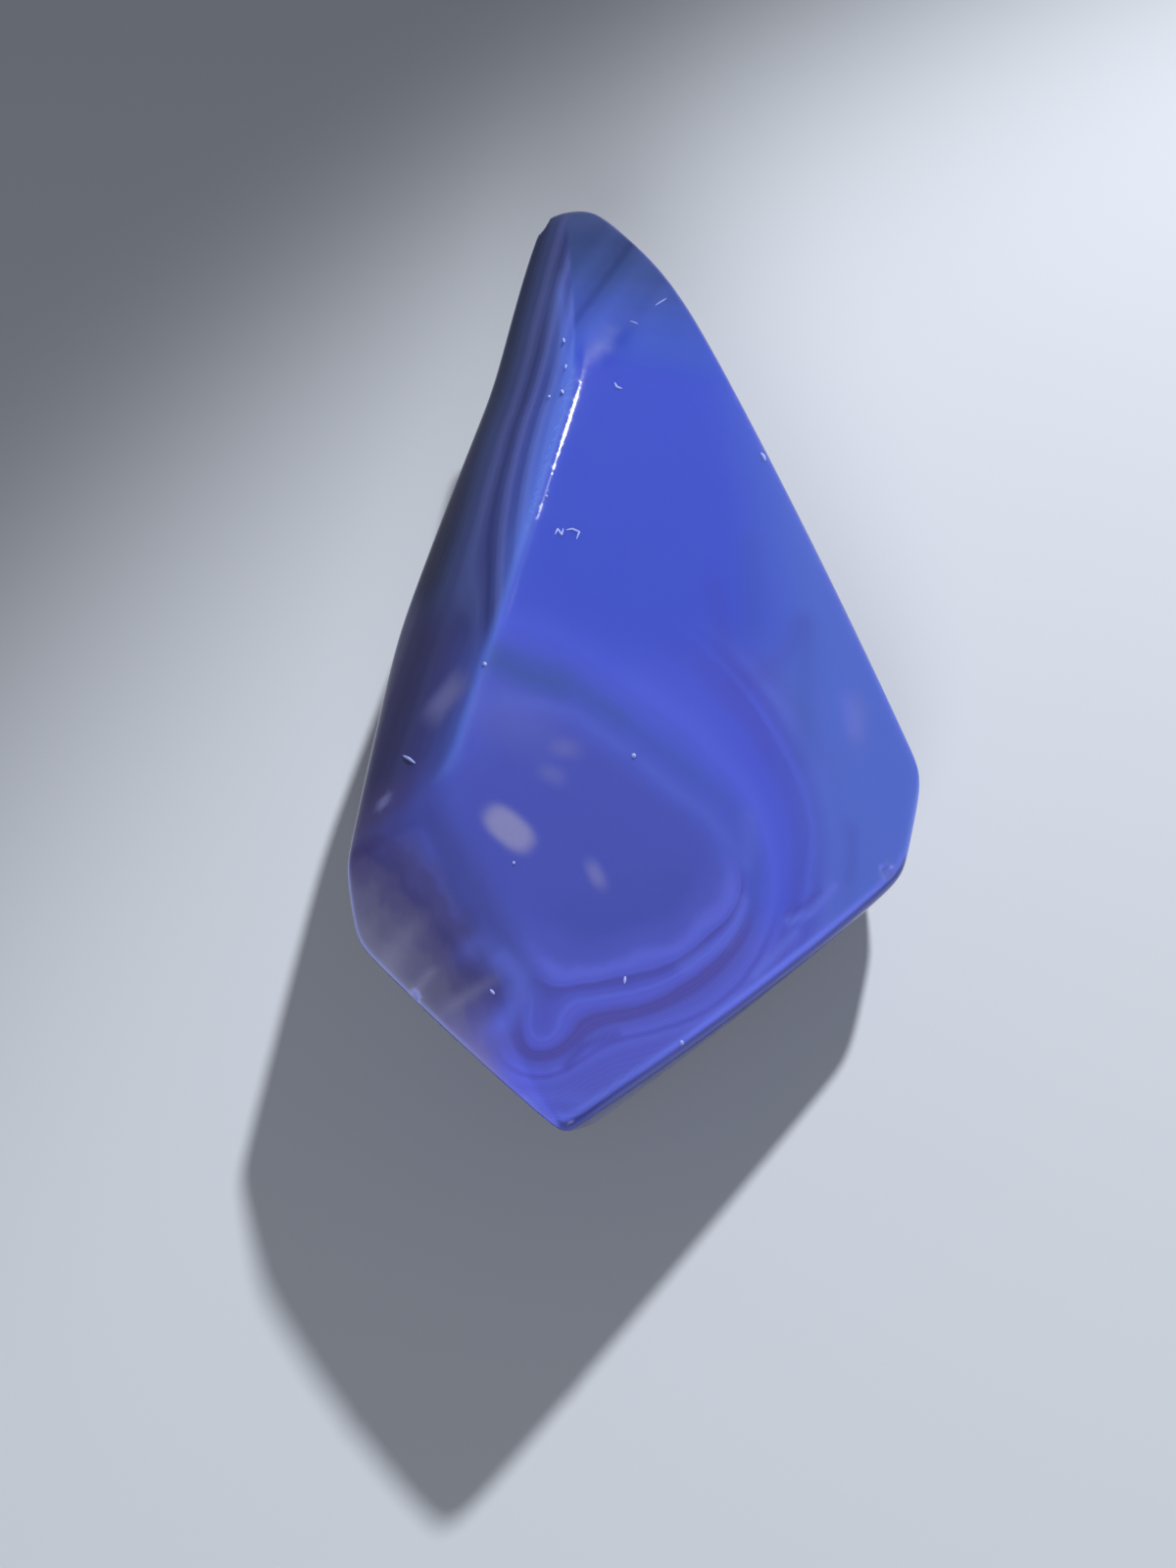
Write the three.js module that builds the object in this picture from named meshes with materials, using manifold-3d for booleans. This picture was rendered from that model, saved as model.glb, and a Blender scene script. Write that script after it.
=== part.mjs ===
// Polished purple chalcedony: a hand-cut freeform stone, about 65 mm long, polished all over.
// It lies on a flat base. A broad main face leans to the right of a crisp ridge, a steep flank
// falls away to the left of it, and a softer face closes the lower left. The walls under the
// girdle lean inwards to the base. Sizes are millimetres and angles degrees. +Y runs along the
// stone from its foot to its tip, and +Z up from the base.
import * as THREE from "three";
import { mergeVertices } from "three/addons/utils/BufferGeometryUtils.js";
import Module from "manifold-3d";

// Driving dimensions: the ridge, then the girdle clockwise from the tip, seen from above
const RIDGE_LOW = new THREE.Vector3(-10.6, -16.6, 18.9);
const RIDGE_HIGH = new THREE.Vector3(-3.4, 15.4, 17.82);
const RIDGE_TIP = new THREE.Vector3(-4.5, 32.4, 14.4);
const TIP_RIGHT = new THREE.Vector3(-1.0, 31.6, 14.1);
const NECK = new THREE.Vector3(2.4, 25.6, 15.3);
const SHOULDER = new THREE.Vector3(5.7, 19.9, 14.0);
const RIGHT_HIGH = new THREE.Vector3(17.2, -8.1, 7.5);
const RIGHT_LOW = new THREE.Vector3(15.6, -14.6, 7.7);
const FOOT = new THREE.Vector3(-4.5, -34.1, 13.8);
const LEFT_LOW = new THREE.Vector3(-15.9, -20.9, 9.9);
const LEFT_HIGH = new THREE.Vector3(-16.7, -16.3, 11.2);
const LEFT_WAIST = new THREE.Vector3(-15.2, -0.9, 9.0);
const LEFT_BEND = new THREE.Vector3(-9.7, 21.3, 9.0);
const LEFT_NECK = new THREE.Vector3(-7.2, 31.0, 10.7);
const TIP_LEFT = new THREE.Vector3(-6.1, 33.9, 12.2);

// The small face that blunts the tip: a point on it, and the way it faces
const NOSE = new THREE.Vector3(-3.9, 32.6, 13.65);
const NOSE_HEADING = new THREE.Vector3(-0.2, 0.6, 0.78);

// Each wall hangs from two girdle corners: its lean inwards, the radius it is domed to, and how
// far its middle stands out from the line between the corners
const WALLS = [
  { from: TIP_RIGHT, to: NECK, lean: 12, dome: Infinity, standOut: 0 },
  { from: NECK, to: SHOULDER, lean: 18, dome: Infinity, standOut: 0 },
  { from: SHOULDER, to: RIGHT_HIGH, lean: 22, dome: 3000, standOut: 0 },
  { from: RIGHT_HIGH, to: RIGHT_LOW, lean: 18, dome: Infinity, standOut: 0 },
  { from: RIGHT_LOW, to: FOOT, lean: 17, dome: 220, standOut: 0.5 },
  { from: FOOT, to: LEFT_LOW, lean: 24, dome: 300, standOut: 0 },
  { from: LEFT_LOW, to: LEFT_HIGH, lean: 12, dome: Infinity, standOut: 0 },
  { from: LEFT_HIGH, to: LEFT_WAIST, lean: 12, dome: Infinity, standOut: 0 },
  { from: LEFT_WAIST, to: LEFT_BEND, lean: 20, dome: Infinity, standOut: 0 },
  { from: LEFT_BEND, to: LEFT_NECK, lean: 18, dome: Infinity, standOut: 0 },
  { from: LEFT_NECK, to: TIP_LEFT, lean: 16, dome: Infinity, standOut: 0 },
  { from: TIP_LEFT, to: TIP_RIGHT, lean: 28, dome: Infinity, standOut: 0 },
];
const LEFT_WALL = 7;
const RIGHT_WALL = 3;
const LOWER_RIGHT_WALL = 4;

// Domes of the polished faces, as radii
const FACE_DOME = 700;
const LOWER_LEFT_DOME = 150;

// Rim bevels: how far towards the wall each one turns, and how deep it cuts the girdle
const LEFT_BEVEL = { turn: 0.55, depth: 0.25 };
const RIGHT_BEVEL = { turn: 0.5, depth: 0.55 };
const LOWER_RIGHT_BEVEL = { turn: 0.5, depth: 0 };

// Edge softness: the width over which two neighbouring faces blend
const SOFT_EDGE = 1.0;
const FLANK_BEND = 0.2;
const TIP_EDGE = 0.7;
const RIDGE_EDGE = 0.2;
const NOSE_EDGE = 0.35;
const BEVEL_EDGE = 0.12;
const WALL_EDGE = 0.3;
const GIRDLE_EDGE = 0.22;
const BASE_EDGE = 1.5;

// The rounded underside reaches this far below the flat base that is cut through it
const BASE_DEPTH = 0.15;

// Small chips broken out of the edges, as the middle and radius of each: at the tip, in the left
// girdle and at the right corner
const CHIPS = [
  { at: new THREE.Vector3(-6.15, 32.95, 12.1), radius: 0.7 },
  { at: new THREE.Vector3(-12.5, -24.85, 11.45), radius: 0.5 },
  { at: new THREE.Vector3(14.25, -15.0, 8.4), radius: 0.6 },
];

// Mesh fineness: rings about the long axis, points kept on each, and trial points it is read at
const RINGS = 56;
const RING_POINTS = 56;
const FINE_POINTS = 336;

// One radian of turning draws ring points together as much as this length of surface does
const TURN_LENGTH = 3.0;
const SLOPE_STEP = 0.01;
const MERGE_DISTANCE = 1e-5;
const CHIP_SEGMENTS = 16;
const CHIP_RINGS = 12;

// Rays leave the heart of the stone, spread as on a spindle with these half-axes
const HEART = new THREE.Vector3(-1.8, -2.7, 9.0);
const SPINDLE = new THREE.Vector3(14, 32, 9);
const REACH = 50;
const BISECTIONS = 26;

/** The unit normal, pointing up, of the plane through three points. */
function upwardNormal(a, b, c) {
  const normal = b.clone().sub(a).cross(c.clone().sub(a)).normalize();
  return normal.z < 0 ? normal.negate() : normal;
}

/** The outward unit normal of a wall through two girdle corners that leans inwards below them. */
function wallNormal(from, to, leanDegrees) {
  const lean = THREE.MathUtils.degToRad(leanDegrees);
  const run = to.clone().sub(from);
  const along = Math.atan2(run.y, run.x);
  const heading = along + Math.acos((run.z * Math.tan(lean)) / Math.hypot(run.x, run.y));
  const level = Math.cos(lean);
  return new THREE.Vector3(Math.cos(heading) * level, Math.sin(heading) * level, -Math.sin(lean));
}

/** The middle of a few points. */
function middle(...points) {
  const sum = points.reduce((total, point) => total.add(point), new THREE.Vector3());
  return sum.divideScalar(points.length);
}

/** A polished face, flat or slightly domed: its height is negative inside the stone. */
class Face {
  constructor(point, normal, dome = Infinity) {
    this.point = point;
    this.normal = normal;
    this.dome = dome;
  }

  height(place) {
    const offset = place.clone().sub(this.point);
    const out = offset.dot(this.normal);
    return out + (offset.lengthSq() - out * out) / (2 * this.dome);
  }
}

/** The largest of some heights, with the edges between their faces rounded over a width. */
function softMax(heights, width) {
  const top = Math.max(...heights);
  const sum = heights.reduce((total, height) => total + Math.exp((height - top) / width), 0);
  return top + width * Math.log(sum);
}

/** The smallest of some heights, with the hollow between their faces rounded over a width. */
function softMin(heights, width) {
  return -softMax(heights.map((height) => -height), width);
}

/** A narrow face between a crown face and the wall under it, set into the girdle by a depth. */
function bevel(crownFace, wall, point, { turn, depth }) {
  const normal = crownFace.normal.clone().lerp(wall.normal, turn).normalize();
  return new Face(point.clone().addScaledVector(normal, -depth), normal);
}

const mainFace = new Face(
  middle(RIDGE_LOW, RIDGE_HIGH, RIGHT_HIGH),
  upwardNormal(RIDGE_LOW, RIDGE_HIGH, RIGHT_HIGH),
  FACE_DOME,
);
const flank = new Face(
  middle(RIDGE_LOW, RIDGE_HIGH, LEFT_WAIST),
  upwardNormal(RIDGE_LOW, RIDGE_HIGH, LEFT_WAIST),
  FACE_DOME,
);
const tipFlank = new Face(RIDGE_TIP, upwardNormal(RIDGE_HIGH, RIDGE_TIP, LEFT_NECK));
const lowerLeft = new Face(
  middle(RIDGE_LOW, FOOT, LEFT_LOW),
  upwardNormal(RIDGE_LOW, FOOT, LEFT_LOW),
  LOWER_LEFT_DOME,
);
const tipFace = new Face(NECK, upwardNormal(RIDGE_HIGH, NECK, RIDGE_TIP));
const nose = new Face(NOSE, NOSE_HEADING.clone().normalize());
const walls = WALLS.map(({ from, to, lean, dome, standOut }) => {
  const normal = wallNormal(from, to, lean);
  return new Face(middle(from, to).addScaledVector(normal, standOut), normal, dome);
});
const bevels = [
  bevel(flank, walls[LEFT_WALL], middle(LEFT_HIGH, LEFT_WAIST), LEFT_BEVEL),
  bevel(mainFace, walls[RIGHT_WALL], middle(RIGHT_HIGH, RIGHT_LOW), RIGHT_BEVEL),
  bevel(mainFace, walls[LOWER_RIGHT_WALL], middle(RIGHT_LOW, FOOT), LOWER_RIGHT_BEVEL),
];

/** How far a place is outside the stone: a soft maximum over all of its faces. */
function outside(place) {
  const leftSide = softMin([flank.height(place), tipFlank.height(place)], FLANK_BEND);
  const lower = softMax([mainFace.height(place), lowerLeft.height(place)], SOFT_EDGE);
  const upper = softMax([lower, tipFace.height(place)], TIP_EDGE);
  const ridged = softMax([upper, leftSide], RIDGE_EDGE);
  const blunt = softMax([ridged, nose.height(place)], NOSE_EDGE);
  const crown = softMax([blunt, ...bevels.map((face) => face.height(place))], BEVEL_EDGE);
  const skirt = softMax(walls.map((face) => face.height(place)), WALL_EDGE);
  return softMax([softMax([crown, skirt], GIRDLE_EDGE), -place.z - BASE_DEPTH], BASE_EDGE);
}

/** Where a ray from the heart of the stone meets its surface, found by bisection. */
function surfacePoint(direction) {
  let near = 0;
  let far = REACH;
  const place = new THREE.Vector3();
  for (let step = 0; step < BISECTIONS; step += 1) {
    const half = (near + far) / 2;
    place.copy(HEART).addScaledVector(direction, half);
    if (outside(place) < 0) near = half;
    else far = half;
  }
  return place;
}

/** The outward unit normal of the surface at a place, from small steps along each axis. */
function surfaceNormal(place) {
  const slope = (x, y, z) => {
    const shift = new THREE.Vector3(x, y, z).multiplyScalar(SLOPE_STEP);
    return outside(place.clone().add(shift)) - outside(place.clone().sub(shift));
  };
  return new THREE.Vector3(slope(1, 0, 0), slope(0, 1, 0), slope(0, 0, 1)).normalize();
}

/** The direction of a spindle point: round is the share of a turn about Y, pole the angle from +Y. */
function spindleDirection(round, pole) {
  const angle = round * 2 * Math.PI;
  const unit = new THREE.Vector3(
    -Math.cos(angle) * Math.sin(pole),
    Math.cos(pole),
    Math.sin(angle) * Math.sin(pole),
  );
  return unit.multiply(SPINDLE).normalize();
}

/** One ring of surface points, closer together where the surface turns over an edge. */
function ring(pole) {
  const fine = [];
  for (let k = 0; k <= FINE_POINTS; k += 1) {
    fine.push(surfacePoint(spindleDirection((k % FINE_POINTS) / FINE_POINTS, pole)));
  }
  const normals = fine.map(surfaceNormal);
  const travelled = [0];
  for (let k = 1; k <= FINE_POINTS; k += 1) {
    const turn = normals[k].distanceTo(normals[k - 1]);
    travelled.push(travelled[k - 1] + fine[k].distanceTo(fine[k - 1]) + TURN_LENGTH * turn);
  }
  const points = [];
  let k = 0;
  for (let step = 0; step < RING_POINTS; step += 1) {
    const goal = (travelled[FINE_POINTS] * step) / RING_POINTS;
    while (travelled[k + 1] < goal) k += 1;
    const share = (goal - travelled[k]) / (travelled[k + 1] - travelled[k]);
    points.push(fine[k].clone().lerp(fine[k + 1], share));
  }
  return [...points, points[0]];
}

/** The stone's rounded body: a sphere whose rings are laid onto the surface. */
function bodyGeometry() {
  const geometry = new THREE.SphereGeometry(1, RING_POINTS, RINGS);
  const position = geometry.getAttribute("position");
  for (let row = 0; row <= RINGS; row += 1) {
    const pole = (Math.PI * row) / RINGS;
    const atPole = row === 0 || row === RINGS;
    const points = atPole ? null : ring(pole);
    const end = atPole ? surfacePoint(new THREE.Vector3(0, row === 0 ? 1 : -1, 0)) : null;
    for (let column = 0; column <= RING_POINTS; column += 1) {
      const { x, y, z } = atPole ? end : points[column];
      position.setXYZ(row * (RING_POINTS + 1) + column, x, y, z);
    }
  }
  return geometry;
}

const wasm = await Module();
wasm.setup();

/** A closed solid from a geometry, with its shared vertices merged. */
function solid(geometry) {
  const bare = geometry.clone();
  bare.deleteAttribute("normal");
  bare.deleteAttribute("uv");
  const merged = mergeVertices(bare, MERGE_DISTANCE);
  return new wasm.Manifold(new wasm.Mesh({
    numProp: 3,
    vertProperties: new Float32Array(merged.getAttribute("position").array),
    triVerts: new Uint32Array(merged.getIndex().array),
  }));
}

/** A geometry from a solid's vertices and triangles. */
function geometryOf(manifold) {
  const mesh = manifold.getMesh();
  const geometry = new THREE.BufferGeometry();
  geometry.setAttribute("position", new THREE.BufferAttribute(mesh.vertProperties, 3));
  geometry.setIndex(new THREE.BufferAttribute(mesh.triVerts, 1));
  geometry.computeVertexNormals();
  return geometry;
}

/** The stone: the rounded body cut flat underneath, with its small chips broken out. */
function stoneGeometry() {
  const ground = new THREE.BoxGeometry(2 * REACH, 2 * REACH, REACH).translate(0, 0, -REACH / 2);
  let stone = solid(bodyGeometry()).subtract(solid(ground));
  for (const { at, radius } of CHIPS) {
    const scoop = new THREE.SphereGeometry(radius, CHIP_SEGMENTS, CHIP_RINGS).translate(at.x, at.y, at.z);
    stone = stone.subtract(solid(scoop));
  }
  return geometryOf(stone);
}

const polishedStone = new THREE.MeshStandardMaterial({
  color: new THREE.Color(0x4a52b4),
  roughness: 0.12,
  metalness: 0,
});

const stone = new THREE.Mesh(stoneGeometry(), polishedStone);
stone.name = "purple_chalcedony";

const chalcedony = new THREE.Group();
chalcedony.add(stone);

export default chalcedony;
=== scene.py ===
"""A polished purple chalcedony: its looks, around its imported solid.

The stone's surface is worked out again here, as finely as its polish needs, from the driving
values of its solid. Those values are millimetres, and every mesh is made in metres. +Y runs
along the stone from its foot to its tip, and +Z up from its base.
"""
import logging
import math
from dataclasses import dataclass
from enum import Enum
from typing import Sequence

import bpy
import numpy as np
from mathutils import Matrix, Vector


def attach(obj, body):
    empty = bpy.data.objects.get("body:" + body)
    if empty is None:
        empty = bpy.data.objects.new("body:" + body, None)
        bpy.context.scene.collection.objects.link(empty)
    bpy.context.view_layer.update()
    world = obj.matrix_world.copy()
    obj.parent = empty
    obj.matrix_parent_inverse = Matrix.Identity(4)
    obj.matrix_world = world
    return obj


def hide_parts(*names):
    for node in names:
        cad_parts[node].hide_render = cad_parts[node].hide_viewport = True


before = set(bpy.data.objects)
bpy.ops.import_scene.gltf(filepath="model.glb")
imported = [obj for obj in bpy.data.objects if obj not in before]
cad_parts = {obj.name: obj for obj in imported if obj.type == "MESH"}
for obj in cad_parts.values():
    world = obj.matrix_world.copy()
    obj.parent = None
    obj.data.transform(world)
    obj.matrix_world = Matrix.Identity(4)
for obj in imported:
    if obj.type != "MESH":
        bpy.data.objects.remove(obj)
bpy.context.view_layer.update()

MM = 0.001
STONE_NODE = "purple_chalcedony"
BODY = "root"

# Where the main light and the weak one stand, as seen from the stone
KEY_HEADING = (0.30, 0.693, 0.647)
FILL_HEADING = (-0.10, -0.85, 0.52)

# Places in the list of walls, which goes clockwise from the tip
LEFT_WALL = 7
RIGHT_WALL = 3
LOWER_RIGHT_WALL = 4

# The curve of a screen's values: its straight start, and the power that follows
FULL_VALUE = 255
CURVE_START = 0.04045
CURVE_SLOPE = 12.92
CURVE_SHIFT = 0.055
CURVE_POWER = 2.4

# Sockets of a Mix node for colours, which share their names with its other kinds
MIX_SHARE = 0
MIX_LOW = 6
MIX_HIGH = 7
MIX_COLOUR = 2

Array = np.ndarray
Flat = tuple[float, float]
Point = tuple[float, float, float]
Rgb = tuple[int, int, int]
log = logging.getLogger("chalcedony")


def unit(vectors: Array) -> Array:
    """Vectors scaled to a length of one."""
    return vectors / np.linalg.norm(vectors, axis=-1, keepdims=True)


def middle(*points: Point) -> Array:
    """The middle of a few points."""
    return np.mean(points, axis=0)


def upward_normal(a: Sequence[float], b: Sequence[float], c: Sequence[float]) -> Array:
    """The unit normal, pointing up, of the plane through three points."""
    normal = unit(np.cross(np.subtract(b, a), np.subtract(c, a)))
    return normal if normal[2] > 0 else -normal


def soft_max(heights: Sequence[Array], width: float) -> Array:
    """The largest of some heights, with the edges between them rounded.

    The formula is the logarithm of the sum of exponentials, taken over a width.

    Args:
        heights: arrays of one shape, one for each face.
        width: the width that two faces blend over.

    Returns:
        An array of that shape.
    """
    stack = np.stack(heights)
    top = stack.max(axis=0)
    return top + width * np.log(np.exp((stack - top) / width).sum(axis=0))


def soft_min(heights: Sequence[Array], width: float) -> Array:
    """The smallest of some heights, with the hollow between them rounded."""
    return -soft_max([-height for height in heights], width)


def smooth_step(values: Array, low: float, high: float) -> Array:
    """Zero below low, one above high, and an even S-shaped rise between them."""
    share = np.clip((values - low) / (high - low), 0.0, 1.0)
    return share * share * (3.0 - 2.0 * share)


def hump(values: Array, centre: float, width: float) -> Array:
    """A bell curve of height one about a centre, falling off over a width."""
    return np.exp(-(((values - centre) / width) ** 2))


def facing(normals: Array, heading: Point) -> Array:
    """How squarely surfaces face a heading: the cosine of the angle, but never below zero."""
    return np.maximum(normals @ unit(np.array(heading)), 0.0)


@dataclass(frozen=True)
class Fade:
    """A smooth change between two values of a measure."""

    low: float
    high: float

    def rise(self, values: Array) -> Array:
        """Zero at low and one at high."""
        return smooth_step(values, self.low, self.high)

    def fall(self, values: Array) -> Array:
        """One at low and zero at high."""
        return 1 - self.rise(values)


@dataclass(frozen=True)
class Bell:
    """A bell curve over a measure, one at its centre."""

    centre: float
    width: float

    def over(self, values: Array) -> Array:
        """The curve at some values."""
        return hump(values, self.centre, self.width)


@dataclass(frozen=True)
class Face:
    """A polished face, flat or slightly domed."""

    point: Array
    normal: Array
    dome: float = math.inf

    def height(self, places: Array) -> Array:
        """How far places lie outside the face.

        The height over the plane, plus the sag of a dome: the squared distance along the
        plane over twice the dome's radius.

        Args:
            places: points as rows of three.

        Returns:
            One height for each point, negative inside the stone.
        """
        offset = places - self.point
        out = offset @ self.normal
        return out + ((offset * offset).sum(axis=-1) - out * out) / (2 * self.dome)


@dataclass(frozen=True)
class Wall:
    """A wall hung from two girdle corners, leaning inwards below them.

    A domed wall may stand out from the line between its corners at its middle.
    """

    start: Point
    end: Point
    lean: float
    dome: float = math.inf
    stand_out: float = 0.0

    def face(self) -> Face:
        """The wall as a face at the middle of its girdle edge.

        It holds the whole edge at its lean. So it heads away from the edge by the angle whose
        cosine is the edge's rise over its level run, times the tangent of the lean.

        Returns:
            The face.
        """
        run = np.subtract(self.end, self.start)
        lean = math.radians(self.lean)
        along = math.atan2(run[1], run[0])
        heading = along + math.acos(run[2] * math.tan(lean) / math.hypot(run[0], run[1]))
        level = math.cos(lean)
        normal = np.array(
            [math.cos(heading) * level, math.sin(heading) * level, -math.sin(lean)])
        return Face(middle(self.start, self.end) + normal * self.stand_out, normal, self.dome)


@dataclass(frozen=True)
class Bevel:
    """A narrow face between a crown face and its wall: how far it turns, and its depth."""

    turn: float
    depth: float

    def face(self, crown: Face, wall: Face, point: Array) -> Face:
        """The bevel as a face.

        Args:
            crown: the face above the girdle.
            wall: the face below it.
            point: a point on the girdle.

        Returns:
            The face, set in from that point by the bevel's depth.
        """
        normal = unit(crown.normal + (wall.normal - crown.normal) * self.turn)
        return Face(point - normal * self.depth, normal)


@dataclass(frozen=True)
class Chip:
    """A small round scoop broken out of an edge, more or less pale."""

    at: Point
    radius: float
    pale: float = 0.8

    def height(self, places: Array) -> Array:
        """How deep places lie inside the scoop."""
        return self.radius - np.linalg.norm(places - np.array(self.at), axis=-1)


@dataclass(frozen=True)
class StoneForm:
    """The stone's outer form: its corners, its faces and how softly they meet."""

    ridge_low: Point = (-10.6, -16.6, 18.9)
    ridge_high: Point = (-3.4, 15.4, 17.82)
    ridge_tip: Point = (-4.5, 32.4, 14.4)
    tip_right: Point = (-1.0, 31.6, 14.1)
    neck: Point = (2.4, 25.6, 15.3)
    shoulder: Point = (5.7, 19.9, 14.0)
    right_high: Point = (17.2, -8.1, 7.5)
    right_low: Point = (15.6, -14.6, 7.7)
    foot: Point = (-4.5, -34.1, 13.8)
    left_low: Point = (-15.9, -20.9, 9.9)
    left_high: Point = (-16.7, -16.3, 11.2)
    left_waist: Point = (-15.2, -0.9, 9.0)
    left_bend: Point = (-9.7, 21.3, 9.0)
    left_neck: Point = (-7.2, 31.0, 10.7)
    tip_left: Point = (-6.1, 33.9, 12.2)
    nose: Point = (-3.9, 32.6, 13.65)
    nose_heading: Point = (-0.2, 0.6, 0.78)
    face_dome: float = 700.0
    lower_left_dome: float = 150.0
    left_bevel: Bevel = Bevel(turn=0.55, depth=0.25)
    right_bevel: Bevel = Bevel(turn=0.5, depth=0.55)
    lower_bevel: Bevel = Bevel(turn=0.5, depth=0.0)
    soft_edge: float = 1.0
    tip_edge: float = 0.7
    nose_edge: float = 0.35
    flank_bend: float = 0.2
    ridge_edge: float = 0.2
    bevel_edge: float = 0.12
    wall_edge: float = 0.3
    girdle_edge: float = 0.22
    base_edge: float = 1.5
    base_depth: float = 0.15
    chips: tuple[Chip, ...] = (
        Chip(at=(-6.15, 32.95, 12.1), radius=0.7),
        Chip(at=(-12.5, -24.85, 11.45), radius=0.5),
        Chip(at=(14.25, -15.0, 8.4), radius=0.6, pale=0.25),
    )
    heart: Point = (-1.8, -2.7, 9.0)
    reach: float = 50.0
    bisections: int = 28
    slope_step: float = 0.004

    def walls(self) -> list[Face]:
        """The walls under the girdle.

        Returns:
            One face for each wall, clockwise from the tip as seen from above.
        """
        return [wall.face() for wall in (
            Wall(self.tip_right, self.neck, lean=12),
            Wall(self.neck, self.shoulder, lean=18),
            Wall(self.shoulder, self.right_high, lean=22, dome=3000),
            Wall(self.right_high, self.right_low, lean=18),
            Wall(self.right_low, self.foot, lean=17, dome=220, stand_out=0.5),
            Wall(self.foot, self.left_low, lean=24, dome=300),
            Wall(self.left_low, self.left_high, lean=12),
            Wall(self.left_high, self.left_waist, lean=12),
            Wall(self.left_waist, self.left_bend, lean=20),
            Wall(self.left_bend, self.left_neck, lean=18),
            Wall(self.left_neck, self.tip_left, lean=16),
            Wall(self.tip_left, self.tip_right, lean=28),
        )]

    def main_face(self) -> Face:
        """The broad face to the right of the ridge."""
        corners = (self.ridge_low, self.ridge_high, self.right_high)
        return Face(middle(*corners), upward_normal(*corners), self.face_dome)

    def flank(self) -> Face:
        """The steep face to the left of the ridge."""
        corners = (self.ridge_low, self.ridge_high, self.left_waist)
        return Face(middle(*corners), upward_normal(*corners), self.face_dome)

    def tip_flank(self) -> Face:
        """The flank's turn outwards near the tip."""
        corners = (self.ridge_high, self.ridge_tip, self.left_neck)
        return Face(np.array(self.ridge_tip), upward_normal(*corners))

    def lower_left(self) -> Face:
        """The softly domed face at the lower left."""
        corners = (self.ridge_low, self.foot, self.left_low)
        return Face(middle(*corners), upward_normal(*corners), self.lower_left_dome)

    def tip_face(self) -> Face:
        """The small face that slopes down to the tip."""
        corners = (self.ridge_high, self.neck, self.ridge_tip)
        return Face(np.array(self.neck), upward_normal(*corners))

    def nose_face(self) -> Face:
        """The small face that blunts the tip."""
        return Face(np.array(self.nose), unit(np.array(self.nose_heading)))

    def parts(self, places: Array) -> dict[str, Array]:
        """The heights of places over each group of faces, as soft maxima of its faces.

        Args:
            places: points as rows of three, in millimetres.

        Returns:
            The heights by the name of the group: upper and left are the two sides of the
            ridge, crown all faces above the girdle and skirt all walls below it.
        """
        main = self.main_face()
        flank = self.flank()
        walls = self.walls()
        heights = {
            "main": main.height(places),
            "lower_left": self.lower_left().height(places),
            "tip": self.tip_face().height(places),
        }
        lower = soft_max([heights["main"], heights["lower_left"]], self.soft_edge)
        upper = soft_max([lower, heights["tip"]], self.tip_edge)
        sides = [flank.height(places), self.tip_flank().height(places)]
        left = soft_min(sides, self.flank_bend)
        left_rim = middle(self.left_high, self.left_waist)
        right_rim = middle(self.right_high, self.right_low)
        lower_rim = middle(self.right_low, self.foot)
        bevels = [
            self.left_bevel.face(flank, walls[LEFT_WALL], left_rim).height(places),
            self.right_bevel.face(main, walls[RIGHT_WALL], right_rim).height(places),
            self.lower_bevel.face(main, walls[LOWER_RIGHT_WALL], lower_rim).height(places),
        ]
        ridged = soft_max([upper, left], self.ridge_edge)
        blunt = soft_max([ridged, self.nose_face().height(places)], self.nose_edge)
        crown = soft_max([blunt, *bevels], self.bevel_edge)
        skirt = soft_max([wall.height(places) for wall in walls], self.wall_edge)
        return heights | {"upper": upper, "left": left, "crown": crown, "skirt": skirt}

    def outside(self, places: Array, chipped: bool = True) -> Array:
        """How far places lie outside the stone: a soft maximum over its faces, less its chips.

        Args:
            places: points as rows of three.
            chipped: whether the chips are broken out.

        Returns:
            One height for each point, negative inside the stone.
        """
        parts = self.parts(places)
        girdled = soft_max([parts["crown"], parts["skirt"]], self.girdle_edge)
        whole = soft_max([girdled, -places[..., 2] - self.base_depth], self.base_edge)
        scoops = [chip.height(places) for chip in self.chips if chipped]
        return np.maximum.reduce([whole, *scoops])

    def meet(self, start: Array, directions: Array) -> Array:
        """Where rays from inside the stone meet its surface, found by bisection.

        A ray that would pass under the flat base stops on it.

        Args:
            start: the point, or points, that the rays leave from.
            directions: unit vectors as rows of three.

        Returns:
            One surface point for each ray.
        """
        near = np.zeros(directions.shape[:-1])
        far = np.full(directions.shape[:-1], self.reach)
        for _ in range(self.bisections):
            half = (near + far) / 2
            inside = self.outside(start + directions * half[..., None]) < 0
            near = np.where(inside, half, near)
            far = np.where(inside, far, half)
        falls = directions[..., 2] < 0
        drop = np.where(falls, directions[..., 2], -1.0)
        height = np.broadcast_to(start, directions.shape)[..., 2]
        floor = np.where(falls, -height / drop, self.reach)
        return start + directions * np.minimum(near, floor)[..., None]

    def normals(self, places: Array, chipped: bool = True) -> Array:
        """The outward normals at surface points, from small steps along each axis.

        Args:
            places: points on the surface, as rows of three.
            chipped: whether the chips are broken out.

        Returns:
            Unit vectors as rows of three, which point straight down on the flat base.
        """
        slopes = [
            self.outside(places + step, chipped) - self.outside(places - step, chipped)
            for step in np.eye(3) * self.slope_step
        ]
        normals = unit(np.stack(slopes, axis=-1))
        on_base = places[..., 2] < self.slope_step
        return np.where(on_base[..., None], np.array([0.0, 0.0, -1.0]), normals)


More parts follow.
